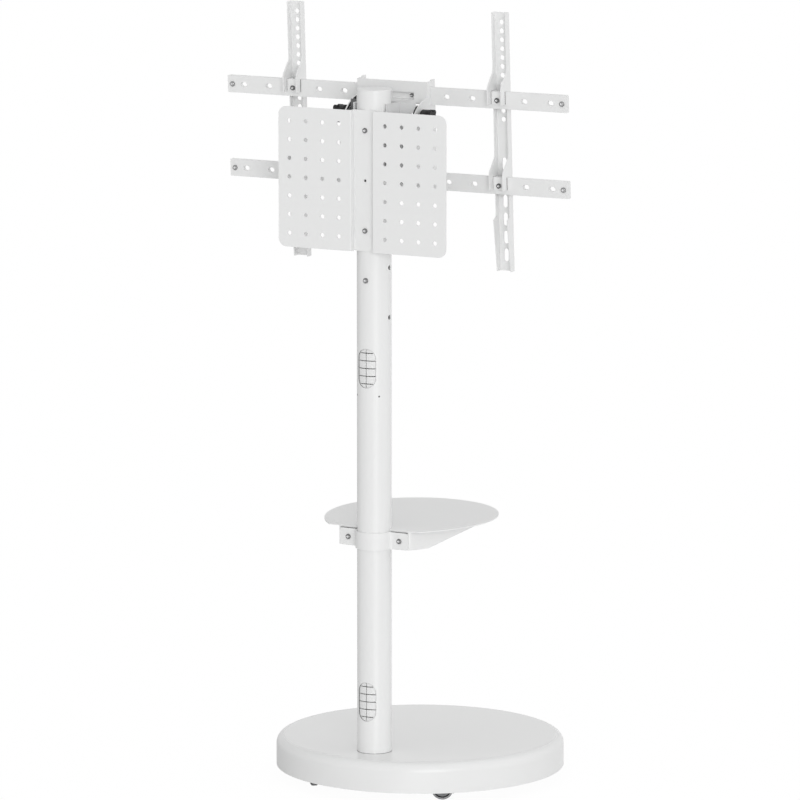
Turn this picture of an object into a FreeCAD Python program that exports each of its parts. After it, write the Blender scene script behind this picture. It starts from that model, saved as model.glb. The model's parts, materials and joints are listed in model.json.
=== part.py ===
import FreeCAD, Part
import Sketcher
import math
import os
from types import SimpleNamespace

# Rolling floor stand for a flat display: round base, one pole, tilting head, shelf and device plate.
# Millimetres and degrees, +Z up, origin on the floor under the centre of the round base.
# The display hangs on the -Y side, the device plate is on the +Y side.

SIZES = [
    ("base_radius", 252, "round base shell, outside"),
    ("base_top", 72, "height of the base's flat top"),
    ("base_rim", 19.2, "height of the shell's lower edge"),
    ("base_wall", 3, "shell thickness"),
    ("base_round", 16, "rounding of the shell's top edge"),
    ("weight_inset", 16.5, "steel disc's edge inside the shell's outside"),
    ("weight_thickness", 10, "steel disc"),
    ("pole_inset", 88, "pole axis inside the base's back edge"),
    ("pole_radius", 30, "pole tube, outside"),
    ("pole_wall", 2, "pole tube"),
    ("pole_top", 1222, "top of the tube"),
    ("pole_step", 86, "pitch of the pole's adjustment holes"),
    ("cross_hole_low", 832, "lowest cross hole in the pole's sides"),
    ("cross_hole_count", 5, "cross holes in the pole's sides"),
    ("cross_hole_radius", 4.25, "cross holes"),
    ("rear_hole_low", 897, "lowest threaded hole in the pole's back"),
    ("rear_hole_count", 4, "threaded holes in the pole's back"),
    ("rear_hole_radius", 2.6, "threaded holes in the pole's back"),
    ("pin_hole_radius", 1.1, "two small holes below the upper grommet"),
    ("pin_hole_height", 697, "two small holes below the upper grommet"),
    ("pin_hole_angle", 45, "small holes, each side of the back"),
    ("cap_height", 1.6, "pole cap above the tube"),
    ("cap_round", 1, "pole cap's rounded edge"),
    ("cap_plug", 20, "pole cap's plug in the tube"),
    ("foot_height", 25, "threaded plug in the pole's foot"),
    ("foot_bolt_circle", 17, "radius of the foot bolts' circle"),
    ("foot_bolt_count", 3, "foot bolts"),
    ("foot_bolt_radius", 4, "foot bolts"),
    ("foot_bolt_grip", 18, "foot bolts' length in the plug"),
    ("seat_gap", 0.1, "clearance of parts that fit in or round each other"),
    ("grommet_width", 34, "cable grommet"),
    ("grommet_height", 68, "cable grommet"),
    ("grommet_low", 162.7, "height of the lower grommet's centre"),
    ("grommet_high", 745, "height of the upper grommet's centre"),
    ("grommet_recess", 1.2, "grommet's face below the pole's surface"),
    ("grommet_depth", 4, "grommet wall, inwards from the pole's surface"),
    ("grommet_rim", 1, "uncut rim round the grommet's flaps"),
    ("slit_width", 1.5, "slits between the flaps"),
    ("slit_pitch", 13.3, "slits across the grommet"),
    ("slit_count", 5, "slits across the grommet"),
    ("tray_width", 326.5, "device plate"),
    ("tray_height", 242, "device plate"),
    ("tray_reach", 44, "device plate's outer face behind the pole axis"),
    ("tray_sheet", 2, "device plate's sheet"),
    ("tray_corner", 15, "device plate's corners"),
    ("tray_bend", 1.5, "device plate's bends"),
    ("strip_half", 21, "half width of the recessed strip"),
    ("tray_column", 45, "innermost hole column from the middle"),
    ("tray_pitch", 32.3, "hole pitch both ways"),
    ("tray_columns", 4, "hole columns in each wing"),
    ("tray_rows", 7, "hole rows"),
    ("tray_hole_radius", 3.75, "device plate's holes"),
    ("screw_radius", 2.5, "small screws"),
    ("screw_head_radius", 4.4, "small screws' heads"),
    ("screw_head_height", 3, "small screws' heads"),
    ("screw_grip", 8, "length of a small screw behind what it clamps"),
    ("lock_grip", 2, "length of a lock screw behind the rail"),
    ("small_nut_radius", 5.4, "nuts on small screws"),
    ("pivot_reach", 58, "tilt axis in front of the pole axis"),
    ("pivot_radius", 5, "tilt pivot bolts"),
    ("head_tilt", 3, "rest position of the head, face upwards"),
    ("tilt_limit", 10, "tilt either way from upright"),
    ("run_gap", 0.06, "running clearance of pins and shafts"),
    ("side_gap", 0.3, "clearance between sliding faces"),
    ("yoke_half", 65.8, "outer face of the yoke's cheeks from the middle"),
    ("yoke_sheet", 3, "yoke plates"),
    ("yoke_radius", 58, "yoke cheeks round the tilt axis"),
    ("yoke_back", 40, "yoke cheeks behind the tilt axis"),
    ("yoke_front", 8, "yoke cheeks in front of the tilt axis"),
    ("yoke_web_low", 52, "yoke's web below the tilt axis"),
    ("yoke_web_top", 67, "yoke's web above the tilt axis"),
    ("window_width", 8, "windows at the web's ends, round the knob nuts"),
    ("window_height", 17, "windows at the web's ends, round the knob nuts"),
    ("saddle_back", 14, "saddle flanges behind the pole axis"),
    ("bolt_radius", 4, "cross bolts"),
    ("bolt_head_radius", 6.5, "cross bolts' heads and nuts"),
    ("bolt_head_height", 5, "cross bolts' heads and nuts"),
    ("pivot_head_radius", 7.5, "tilt pivot bolts' heads and the knob nuts"),
    ("pivot_nut_radius", 8.5, "tilt pivot bolts' nuts"),
    ("pivot_steps", 3.5, "pole steps from the lowest cross hole to the tilt axis"),
    ("frame_sheet", 2.5, "tilt frame's sheet"),
    ("frame_half_height", 98.6, "tilt frame, half height"),
    ("frame_web_front", 9.4, "back of the frame's webs in front of the tilt axis"),
    ("frame_web_height", 36.6, "frame's upper and lower webs"),
    ("frame_depth", 27.6, "side plates in front of the webs' back"),
    ("frame_lip", 6.9, "lips on the webs' inner edges"),
    ("frame_tab_height", 2, "tabs above the side plates"),
    ("frame_tab_depth", 13, "tabs above the side plates"),
    ("ear_radius", 72, "frame's round ears"),
    ("ear_front", 16, "middle of the ears' arc in front of the tilt axis"),
    ("groove_half_height", 6, "pressed groove behind each rail"),
    ("groove_half_width", 42, "pressed groove behind each rail"),
    ("knob_back", 20, "knob stud behind the tilt axis at rest, in the frame"),
    ("knob_rise", 42, "knob stud above the tilt axis at rest, in the frame"),
    ("stud_radius", 4, "knob stud"),
    ("slot_play", 0.4, "play of the stud in its curved slot"),
    ("knob_hub_radius", 14.6, "knob hub"),
    ("knob_hub_length", 11, "knob hub"),
    ("knob_grip_radius", 11.6, "knob grip between its lobes"),
    ("knob_grip_length", 8.8, "knob grip"),
    ("knob_lobe_radius", 5, "knob lobes"),
    ("knob_lobe_count", 5, "knob lobes"),
    ("knob_round", 1.25, "rounding of the knob's end"),
    ("knob_turn", 36, "rest turn of the right knob"),
    ("knob_collar_radius", 6.5, "knob neck against the ear"),
    ("knob_collar_length", 6.2, "knob neck against the ear"),
    ("rail_length", 664, "rails"),
    ("rail_height", 30, "rails"),
    ("rail_sheet", 7.5, "rails"),
    ("rail_corner", 1.5, "rails' corners"),
    ("rail_front", 18.8, "back of the rails in front of the tilt axis"),
    ("rail_spread", 73.7, "rail centre line above or below the tilt axis"),
    ("rail_pitch", 50, "rail holes"),
    ("rail_first", 100, "innermost rail hole from the middle"),
    ("rail_holes", 5, "rail holes on each side"),
    ("rail_hole_radius", 4.25, "round ends of the rail holes"),
    ("rail_hole_length", 12.4, "rail holes, along the rail"),
    ("rail_bolt_x", 35, "rail bolts from the middle"),
    ("stop_inset", 9.6, "stop screws from the rails' ends"),
    ("arm_spread", 200, "display brackets from the middle"),
    ("arm_width", 28, "display bracket"),
    ("arm_sheet", 2, "display bracket"),
    ("arm_top", 222, "bracket's top above the tilt axis"),
    ("arm_bottom", 224, "bracket's bottom below the tilt axis"),
    ("arm_front", 39.2, "bracket's display face in front of the tilt axis"),
    ("arm_shallow", 12, "bracket's flanges between the rails"),
    ("arm_deep", 34.4, "bracket's flanges at the hooks"),
    ("arm_tail", 21.6, "bracket's flanges at the lower step"),
    ("hook_play", 1, "room between the hooks and the rails' backs"),
    ("hook_drop", 22, "hooks down behind the rails"),
    ("hook_shoulder", 8, "flanges straight above the rails"),
    ("flare_length", 25, "slope from shallow to deep flanges"),
    ("flare_round", 14, "rounding at both ends of that slope"),
    ("tail_step", 129, "lower step below the tilt axis"),
    ("arm_hole_radius", 4.25, "bracket holes and slot ends"),
    ("arm_hole_top", 205, "top bracket hole above the tilt axis"),
    ("arm_hole_pitch", 15.2, "bracket holes"),
    ("arm_hole_count", 12, "bracket holes"),
    ("arm_slot_length", 22.3, "bracket slots"),
    ("arm_slot_pitch", 31.1, "bracket slots"),
    ("arm_slot_low", 196.9, "lowest slot below the tilt axis"),
    ("arm_slot_count", 4, "slots below the lower rail"),
    ("arm_slot_single", 39.2, "single slot above the lower rail, below the tilt axis"),
    ("lock_sheet", 3, "lock plates between the hooks"),
    ("lock_play", 1.2, "room at each side of a lock plate"),
    ("shelf_top", 464, "height of the shelf's top at the pole axis"),
    ("shelf_pitch", 1, "shelf's rise towards the front"),
    ("shelf_sheet", 2, "shelf plate and the bracket under it"),
    ("shelf_back", 1, "shelf's back edge behind the pole axis"),
    ("shelf_centre", 138, "shelf's widest line in front of the pole axis"),
    ("shelf_radius", 149, "shelf's round front"),
    ("shelf_shoulder", 190, "radius of the shelf's back shoulders"),
    ("shelf_corner", 7, "shelf's back corners"),
    ("flange_height", 30, "bracket's back flange and the strap"),
    ("flange_gap", 2.5, "open joint between the flange and the plate"),
    ("flange_half", 69.5, "bracket's flange from the middle to its bend"),
    ("gusset_splay", 25, "gussets' turn outwards from straight ahead"),
    ("gusset_length", 172, "gussets along the plate"),
    ("gusset_bend", 6, "bend from the flange to a gusset, outside"),
    ("gusset_level", 36, "gussets' lower edge is level up to here, from the pole axis"),
    ("gusset_end", 148, "gussets' lower edge meets the plate here"),
    ("clamp_gap", 0.3, "strap and saddle round the pole"),
    ("strap_sheet", 2.5, "clamp strap"),
    ("strap_reach", 67, "strap ears from the middle"),
    ("strap_screw_x", 50, "strap screws from the middle"),
    ("strap_corner", 6, "strap ears' corners"),
    ("strap_bend", 7, "bend from the strap's half ring to its ears"),
    ("caster_count", 5, "casters round the base"),
    ("caster_inset", 52, "swivel axes inside the base's edge"),
    ("wheel_radius", 19, "caster wheels"),
    ("wheel_width", 8.5, "caster wheels"),
    ("wheel_gap", 0.5, "clearance round the wheels"),
    ("wheel_edge", 1.5, "rounded tread edge"),
    ("wheel_dish", 1.4, "ring pressed into the wheel's face"),
    ("wheel_dish_inner", 9, "ring in the wheel's face"),
    ("wheel_dish_outer", 14, "ring in the wheel's face"),
    ("caster_web_half", 4.1, "caster body between the wheels"),
    ("caster_trail", 14, "axle behind the swivel axis"),
    ("hood_wall", 2.2, "caster hood over the wheels"),
    ("hood_cut", 7, "hood's lower edge below the axle"),
    ("axle_radius", 3, "caster axle"),
    ("stem_radius", 5, "caster stem"),
    ("stem_flange_radius", 14, "caster stem's flange"),
    ("stem_flange", 4, "caster stem's flange"),
    ("stem_length", 14, "stem in the caster body"),
    ("boss_radius", 9, "caster body round the stem"),
]
# Rest directions of the casters' trails, from +X, in the order of the caster numbers
CASTER_TRAILS = (203, 100, 150, 215, 135)

doc = FreeCAD.newDocument("tv_stand")
sheet = doc.addObject("Spreadsheet::Sheet", "Sizes")
parts = []
ORIGIN_X = FreeCAD.Vector(1, 0, 0)
ORIGIN_Y = FreeCAD.Vector(0, 1, 0)
ORIGIN_Z = FreeCAD.Vector(0, 0, 1)
TURNS = {
    "X": FreeCAD.Rotation(ORIGIN_Y, 90),
    "Y": FreeCAD.Rotation(ORIGIN_X, -90),
    "Z": FreeCAD.Rotation(ORIGIN_Z, 0),
}


class Size:
    # A number together with the sheet formula that gives it

    def __init__(self, value, text):
        self.value = value
        self.text = text

    def __add__(self, other):
        return Size(self.value + number(other), "(%s + %s)" % (self.text, formula(other)))

    def __sub__(self, other):
        return Size(self.value - number(other), "(%s - %s)" % (self.text, formula(other)))

    def __mul__(self, other):
        return Size(self.value * number(other), "(%s * %s)" % (self.text, formula(other)))

    def __truediv__(self, other):
        return Size(self.value / number(other), "(%s / %s)" % (self.text, formula(other)))

    def __radd__(self, other):
        return Size(number(other) + self.value, "(%s + %s)" % (formula(other), self.text))

    def __rsub__(self, other):
        return Size(number(other) - self.value, "(%s - %s)" % (formula(other), self.text))

    def __rmul__(self, other):
        return self * other

    def __rtruediv__(self, other):
        return Size(number(other) / self.value, "(%s / %s)" % (formula(other), self.text))

    def __neg__(self):
        return Size(-self.value, "(-1 * %s)" % self.text)


def number(size):
    return size.value if isinstance(size, Size) else size


def formula(size):
    return size.text if isinstance(size, Size) else "%.9g" % size


def sine(angle):
    return Size(math.sin(math.radians(number(angle))), "sin(%s * 1 deg)" % formula(angle))


def cosine(angle):
    return Size(math.cos(math.radians(number(angle))), "cos(%s * 1 deg)" % formula(angle))


def tangent(angle):
    return Size(math.tan(math.radians(number(angle))), "tan(%s * 1 deg)" % formula(angle))


def fill_sheet():
    sizes = SimpleNamespace()
    for row, (alias, value, note) in enumerate(SIZES, start=1):
        sheet.set("A%d" % row, note)
        sheet.set("B%d" % row, str(value))
        sheet.setAlias("B%d" % row, alias)
        setattr(sizes, alias, Size(value, "Sizes." + alias))
    doc.recompute()
    return sizes


def bind(obj, prop, size):
    obj.setExpression(prop, formula(size))


def move(obj, point):
    for axis, size in zip("xyz", point):
        bind(obj, "Placement.Base." + axis, size)
    return obj


def box(name, size, corner):
    obj = doc.addObject("Part::Box", name)
    for prop, value in zip(("Length", "Width", "Height"), size):
        bind(obj, prop, value)
    return move(obj, corner)


def cylinder(name, radius, height, start, along="Z"):
    obj = doc.addObject("Part::Cylinder", name)
    bind(obj, "Radius", radius)
    bind(obj, "Height", height)
    obj.Placement = FreeCAD.Placement(FreeCAD.Vector(), TURNS[along])
    return move(obj, start)


def hexagon(name, radius, height, start, along="Z"):
    obj = doc.addObject("Part::Prism", name)
    obj.Polygon = 6
    bind(obj, "Circumradius", radius)
    bind(obj, "Height", height)
    obj.Placement = FreeCAD.Placement(FreeCAD.Vector(), TURNS[along])
    return move(obj, start)


def fuse(name, shapes):
    obj = doc.addObject("Part::MultiFuse", name)
    obj.Shapes = shapes
    obj.Refine = True
    return obj


def group(name, shapes):
    obj = doc.addObject("Part::Compound", name)
    obj.Links = shapes
    return obj


def common(name, shapes):
    obj = doc.addObject("Part::MultiCommon", name)
    obj.Shapes = shapes
    return obj


def cut(name, base, tools):
    obj = doc.addObject("Part::Cut", name)
    obj.Base = base
    obj.Tool = tools[0] if len(tools) == 1 else group(name + "_tools", tools)
    obj.Refine = True
    return obj


def keep(obj):
    # The object is a finished piece, whose label names its file
    parts.append(obj)
    return obj


def origin_part(body, role):
    return next(item for item in body.Origin.OriginFeatures if item.Role == role)


def new_body(label):
    return keep(doc.addObject("PartDesign::Body", label))


def new_sketch(body, role, offset=0, turn=None):
    sketch = body.newObject("Sketcher::SketchObject", body.Name + "_sketch")
    sketch.AttachmentSupport = (origin_part(body, role), [""])
    sketch.MapMode = "FlatFace"
    if turn is not None:
        sketch.AttachmentOffset = FreeCAD.Placement(FreeCAD.Vector(), FreeCAD.Rotation(ORIGIN_Y, turn))
    bind(sketch, "AttachmentOffset.Base.z", offset)
    return sketch


def fix_point(sketch, geometry, end, x, y):
    # Ties one point of a sketch to its two coordinates
    for kind, value, axis in (("DistanceX", x, -2), ("DistanceY", y, -1)):
        if number(value) == 0:
            sketch.addConstraint(Sketcher.Constraint("PointOnObject", geometry, end, axis))
            continue
        index = sketch.addConstraint(Sketcher.Constraint(kind, -1, 1, geometry, end, number(value)))
        sketch.setExpression("Constraints[%d]" % index, formula(value))


def polygon(sketch, points):
    first = sketch.GeometryCount
    count = len(points)
    corners = [FreeCAD.Vector(number(x), number(y), 0) for x, y in points]
    for index, corner in enumerate(corners):
        sketch.addGeometry(Part.LineSegment(corner, corners[(index + 1) % count]))
    for index, (x, y) in enumerate(points):
        nearest = first + (index - 1) % count
        sketch.addConstraint(Sketcher.Constraint("Coincident", nearest, 2, first + index, 1))
        fix_point(sketch, first + index, 1, x, y)


def rectangle(sketch, x0, x1, y0, y1):
    polygon(sketch, [(x0, y0), (x1, y0), (x1, y1), (x0, y1)])


def circle(sketch, x, y, radius):
    middle = FreeCAD.Vector(number(x), number(y), 0)
    index = sketch.addGeometry(Part.Circle(middle, ORIGIN_Z, number(radius)))
    fix_point(sketch, index, 3, x, y)
    rule = sketch.addConstraint(Sketcher.Constraint("Radius", index, number(radius)))
    sketch.setExpression("Constraints[%d]" % rule, formula(radius))


def slot(sketch, x, y, length, radius, level=False):
    # A slot with round ends along the sketch's vertical axis, or level
    reach = length / 2 - radius
    start = -math.pi / 2 if level else 0
    places = [(x + reach, y), (x - reach, y)] if level else [(x, y + reach), (x, y - reach)]
    centres = [FreeCAD.Vector(number(across), number(up), 0) for across, up in places]
    side = FreeCAD.Vector(math.cos(start), math.sin(start), 0) * number(radius)
    first = sketch.GeometryCount
    for index, centre in enumerate(centres):
        low = start + index * math.pi
        ring = Part.Circle(centre, ORIGIN_Z, number(radius))
        sketch.addGeometry(Part.ArcOfCircle(ring, low, low + math.pi))
        edge = -side if index == 0 else side
        sketch.addGeometry(Part.LineSegment(centre + edge, centres[1 - index] + edge))
    for step in range(4):
        ends = (first + step, 2, first + (step + 1) % 4, 1)
        sketch.addConstraint(Sketcher.Constraint("Tangent", *ends))
    for index, (across, up) in enumerate(places):
        fix_point(sketch, first + 2 * index, 3, across, up)
    sketch.addConstraint(Sketcher.Constraint("Equal", first, first + 2))
    rule = sketch.addConstraint(Sketcher.Constraint("Radius", first, number(radius)))
    sketch.setExpression("Constraints[%d]" % rule, formula(radius))


def pad(body, sketch, length, middle=False):
    feature = body.newObject("PartDesign::Pad", body.Name + "_pad")
    feature.Profile = sketch
    bind(feature, "Length", length)
    if middle:
        feature.SideType = "Symmetric"
    return feature


def pocket(body, sketch, length=None, back=False, middle=False):
    # Cuts to a depth, or right through where no length is given
    doc.recompute()
    before = body.Shape.Volume
    feature = body.newObject("PartDesign::Pocket", body.Name + "_pocket")
    feature.Profile = sketch
    feature.Reversed = back
    if middle:
        feature.SideType = "Symmetric"
    if length is None:
        feature.Type = "ThroughAll"
    else:
        bind(feature, "Length", length)
    doc.recompute()
    if not body.Shape.Volume < before:
        raise RuntimeError("a pocket cuts nothing in " + body.Label)
    return feature


def row_of(body, feature, sketch, axis, pitch, count, back=False):
    pattern = body.newObject("PartDesign::LinearPattern", body.Name + "_row")
    pattern.Originals = [feature]
    pattern.Direction = (sketch, [axis])
    pattern.Reversed = back
    pattern.Mode = "Spacing"
    bind(pattern, "Offset", pitch)
    bind(pattern, "Occurrences", count)
    body.Tip = pattern
    return pattern


def revolve(body, sketch):
    feature = body.newObject("PartDesign::Revolution", body.Name + "_revolution")
    feature.Profile = sketch
    feature.ReferenceAxis = (sketch, ["V_Axis"])
    feature.Angle = 360
    return feature


def round_edges(body, radius, wanted):
    # Rounds the edges of the body that the given test picks
    doc.recompute()
    base = body.Tip
    names = ["Edge%d" % i for i, edge in enumerate(base.Shape.Edges, start=1) if wanted(edge)]
    feature = body.newObject("PartDesign::Fillet", body.Name + "_round")
    feature.Base = (base, names)
    bind(feature, "Radius", radius)
    return feature


def close(a, b):
    return abs(a - number(b)) < 0.01


def middle_of(edge):
    return edge.valueAt((edge.FirstParameter + edge.LastParameter) / 2)


def is_straight(edge, direction):
    if not isinstance(edge.Curve, Part.Line):
        return False
    return edge.Curve.Direction.cross(direction).Length < 1e-6


def ring_at(edge, radius, height):
    if not isinstance(edge.Curve, Part.Circle):
        return False
    return close(edge.Curve.Radius, radius) and close(edge.Curve.Center.z, height)


def screw(name, radius, head_radius, head_height, grip, seat, along, sign):
    # A screw whose head stands on the seat point; the shank runs the way of the sign
    axis = "XYZ".index(along)
    shank_start = list(seat)
    head_start = list(seat)
    if sign > 0:
        head_start[axis] = seat[axis] - head_height
    else:
        shank_start[axis] = seat[axis] - grip
    shank = cylinder(name + "_shank", radius, grip, shank_start, along)
    head = cylinder(name + "_head", head_radius, head_height, head_start, along)
    return fuse(name, [shank, head])


d = fill_sheet()

# Heights and places that several pieces share
weight_top = d.base_top - d.base_wall
weight_low = weight_top - d.weight_thickness
pole_offset = d.base_radius - d.pole_inset
caster_circle = d.base_radius - d.caster_inset
pivot_height = d.cross_hole_low + d.pivot_steps * d.pole_step
tray_height_mid = d.rear_hole_low + 2 * d.pole_step
frame_half = d.yoke_half + d.side_gap + d.frame_sheet
flange_top = d.shelf_top - d.shelf_sheet - d.flange_gap
flange_low = flange_top - d.flange_height
strap_screw_z = flange_low + d.flange_height / 2
bore = d.pole_radius + d.clamp_gap


def at_pole(obj):
    # Puts a piece that was drawn about the pole axis in its place
    bind(obj, "Placement.Base.y", pole_offset)
    return obj


def at_head(obj, x=0):
    # Puts a piece that was drawn about the tilt axis in its place, at the head's rest tilt
    obj.Placement = FreeCAD.Placement(FreeCAD.Vector(), FreeCAD.Rotation(-ORIGIN_X, number(d.head_tilt)))
    bind(obj, "Placement.Rotation.Angle", d.head_tilt)
    return move(obj, (x, pole_offset - d.pivot_reach, pivot_height))


def foot_bolt_places():
    for index in range(int(number(d.foot_bolt_count))):
        turn = 360 * index / d.foot_bolt_count + 90
        yield d.foot_bolt_circle * cosine(turn), d.foot_bolt_circle * sine(turn)


def caster_places():
    # Swivel axes, the first two beside the pole
    for index in range(int(number(d.caster_count))):
        turn = 90 + 180 / d.caster_count + 360 * index / d.caster_count
        yield caster_circle * cosine(turn), caster_circle * sine(turn)


def base_shell():
    body = new_body("base_shell")
    sketch = new_sketch(body, "XZ_Plane")
    inner = d.base_radius - d.base_wall
    section = [
        (0, d.base_top),
        (d.base_radius, d.base_top),
        (d.base_radius, d.base_rim),
        (inner, d.base_rim),
        (inner, weight_top),
        (0, weight_top),
    ]
    polygon(sketch, section)
    revolve(body, sketch)
    round_edges(body, d.base_round, lambda edge: ring_at(edge, d.base_radius, d.base_top))
    round_edges(body, d.base_round - d.base_wall, lambda edge: ring_at(edge, inner, weight_top))
    holes = new_sketch(body, "XY_Plane", weight_top)
    for x, y in foot_bolt_places():
        circle(holes, x, pole_offset + y, d.foot_bolt_radius + d.seat_gap)
    pocket(body, holes, back=True)


def base_weight():
    body = new_body("base_weight")
    sketch = new_sketch(body, "XY_Plane", weight_low)
    circle(sketch, 0, 0, d.base_radius - d.weight_inset)
    pad(body, sketch, d.weight_thickness)
    holes = new_sketch(body, "XY_Plane", weight_low)
    for x, y in foot_bolt_places():
        circle(holes, x, pole_offset + y, d.foot_bolt_radius + d.seat_gap)
    for x, y in caster_places():
        circle(holes, x, y, d.stem_radius + d.seat_gap)
    pocket(body, holes, back=True)


def pole():
    body = new_body("pole")
    sketch = new_sketch(body, "XY_Plane", d.base_top)
    circle(sketch, 0, 0, d.pole_radius)
    circle(sketch, 0, 0, d.pole_radius - d.pole_wall)
    pad(body, sketch, d.pole_top - d.base_top)
    reach = d.pole_radius + d.pole_wall
    openings = new_sketch(body, "XZ_Plane")
    for height in (d.grommet_low, d.grommet_high):
        slot(openings, 0, height, d.grommet_height, d.grommet_width / 2)
    pocket(body, openings, reach)
    rear = new_sketch(body, "XZ_Plane")
    circle(rear, 0, d.rear_hole_low, d.rear_hole_radius)
    row_of(body, pocket(body, rear, reach), rear, "V_Axis", d.pole_step, d.rear_hole_count)
    sides = new_sketch(body, "YZ_Plane")
    circle(sides, 0, d.cross_hole_low, d.cross_hole_radius)
    through = pocket(body, sides, 2 * reach, middle=True)
    row_of(body, through, sides, "V_Axis", d.pole_step, d.cross_hole_count)
    for side in (-1, 1):
        pin = new_sketch(body, "XZ_Plane", 0, side * number(d.pin_hole_angle))
        circle(pin, 0, d.pin_hole_height, d.pin_hole_radius)
        pocket(body, pin, reach)
    at_pole(body)


def pole_cap():
    body = new_body("pole_cap")
    sketch = new_sketch(body, "XZ_Plane")
    plug = d.pole_radius - d.pole_wall - d.seat_gap
    section = [
        (0, d.pole_top + d.cap_height),
        (d.pole_radius, d.pole_top + d.cap_height),
        (d.pole_radius, d.pole_top),
        (plug, d.pole_top),
        (plug, d.pole_top - d.cap_plug),
        (0, d.pole_top - d.cap_plug),
    ]
    polygon(sketch, section)
    revolve(body, sketch)
    top = d.pole_top + d.cap_height
    round_edges(body, d.cap_round, lambda edge: ring_at(edge, d.pole_radius, top))
    at_pole(body)


def pole_foot():
    body = new_body("pole_foot")
    sketch = new_sketch(body, "XY_Plane", d.base_top)
    circle(sketch, 0, 0, d.pole_radius - d.pole_wall)
    for x, y in foot_bolt_places():
        circle(sketch, x, y, d.foot_bolt_radius + d.seat_gap)
    pad(body, sketch, d.foot_height)
    at_pole(body)


def foot_bolts():
    bolts = []
    grip = d.base_top - weight_low + d.foot_bolt_grip
    head = (d.bolt_head_radius, d.bolt_head_height)
    for index, (x, y) in enumerate(foot_bolt_places()):
        seat = (x, pole_offset + y, weight_low)
        name = "foot_bolt_%d" % index
        bolts.append(screw(name, d.foot_bolt_radius, head[0], head[1], grip, seat, "Z", 1))
    keep(group("foot_bolts", bolts))


def grommet(label, height):
    # A curved insert with one upright slit and several across, cut free as flaps
    outer_radius = d.pole_radius - d.grommet_recess
    outer = cylinder(label + "_outer", outer_radius, d.grommet_height, (0, 0, height - d.grommet_height / 2))
    inner_radius = d.pole_radius - d.grommet_depth
    inner = cylinder(label + "_inner", inner_radius, d.grommet_height, (0, 0, height - d.grommet_height / 2))
    ring = cut(label + "_ring", outer, [inner])
    end = d.grommet_width / 2 - d.seat_gap
    straight = d.grommet_height - d.grommet_width
    bar = box(label + "_bar", (2 * end, d.pole_radius, straight), (-end, 0, height - straight / 2))
    ends = []
    for index, side in enumerate((-1, 1)):
        start = (0, 0, height + side * straight / 2)
        ends.append(cylinder("%s_end_%d" % (label, index), end, d.pole_radius, start, "Y"))
    window = fuse(label + "_window", [bar] + ends)
    insert = common(label + "_insert", [ring, window])
    reach = d.grommet_height / 2 - d.grommet_rim
    half = d.slit_width / 2
    slits = [box(label + "_slit", (d.slit_width, d.pole_radius, 2 * reach), (-half, 0, height - reach))]
    for index in range(int(number(d.slit_count))):
        rise = (index - (d.slit_count - 1) / 2) * d.slit_pitch
        drop = abs(number(rise)) - number(straight) / 2
        width = end - d.grommet_rim
        if drop > 0:
            chord = math.sqrt(0.25 - (drop / number(d.grommet_width)) ** 2)
            width = d.grommet_width * chord - 2 * d.grommet_rim
        place = (-width, 0, height + rise - half)
        slits.append(box("%s_slit_%d" % (label, index), (2 * width, d.pole_radius, d.slit_width), place))
    at_pole(keep(cut(label, insert, slits)))


def device_plate():
    body = new_body("device_plate")
    low = tray_height_mid - d.tray_height / 2
    sketch = new_sketch(body, "XY_Plane", low)
    half = d.tray_width / 2
    back = d.tray_reach
    seat = d.pole_radius + d.seat_gap
    outer = d.strip_half + d.tray_sheet
    right = [
        (d.strip_half, seat + d.tray_sheet),
        (d.strip_half, back),
        (half, back),
        (half, back - d.tray_sheet),
        (outer, back - d.tray_sheet),
        (outer, seat),
    ]
    left = [(-x, y) for x, y in reversed(right)]
    polygon(sketch, right + left)
    pad(body, sketch, d.tray_height)

    def is_corner(edge):
        return is_straight(edge, ORIGIN_Y) and close(abs(middle_of(edge).x), half)

    def is_bend(edge):
        point = middle_of(edge)
        near_wing = close(point.y, back) and close(abs(point.x), d.strip_half)
        near_strip = close(point.y, seat) and close(abs(point.x), outer)
        return is_straight(edge, ORIGIN_Z) and (near_wing or near_strip)

    round_edges(body, d.tray_corner, is_corner)
    round_edges(body, d.tray_bend, is_bend)
    holes = new_sketch(body, "XZ_Plane")
    first_row = tray_height_mid - (d.tray_rows - 1) * d.tray_pitch / 2
    for column in range(int(number(d.tray_columns))):
        x = d.tray_column + column * d.tray_pitch
        circle(holes, x, first_row, d.tray_hole_radius)
        circle(holes, -x, first_row, d.tray_hole_radius)
    row_of(body, pocket(body, holes), holes, "V_Axis", d.tray_pitch, d.tray_rows)
    middle = new_sketch(body, "XZ_Plane")
    circle(middle, 0, d.rear_hole_low + d.pole_step, d.screw_radius + d.seat_gap)
    row_of(body, pocket(body, middle), middle, "V_Axis", d.pole_step, d.rear_hole_count - 1)
    at_pole(body)


def rear_screws():
    screws = []
    strip = d.pole_radius + d.seat_gap + d.tray_sheet
    places = ((3, strip), (1, strip), (0, d.pole_radius))
    for index, (step, seat) in enumerate(places):
        height = d.rear_hole_low + step * d.pole_step
        grip = seat - d.pole_radius + d.pole_wall + d.screw_grip
        name = "rear_screw_%d" % index
        point = (0, pole_offset + seat, height)
        head = (d.screw_head_radius, d.screw_head_height)
        screws.append(screw(name, d.screw_radius, head[0], head[1], grip, point, "Y", -1))
    keep(group("rear_screws", screws))


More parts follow.
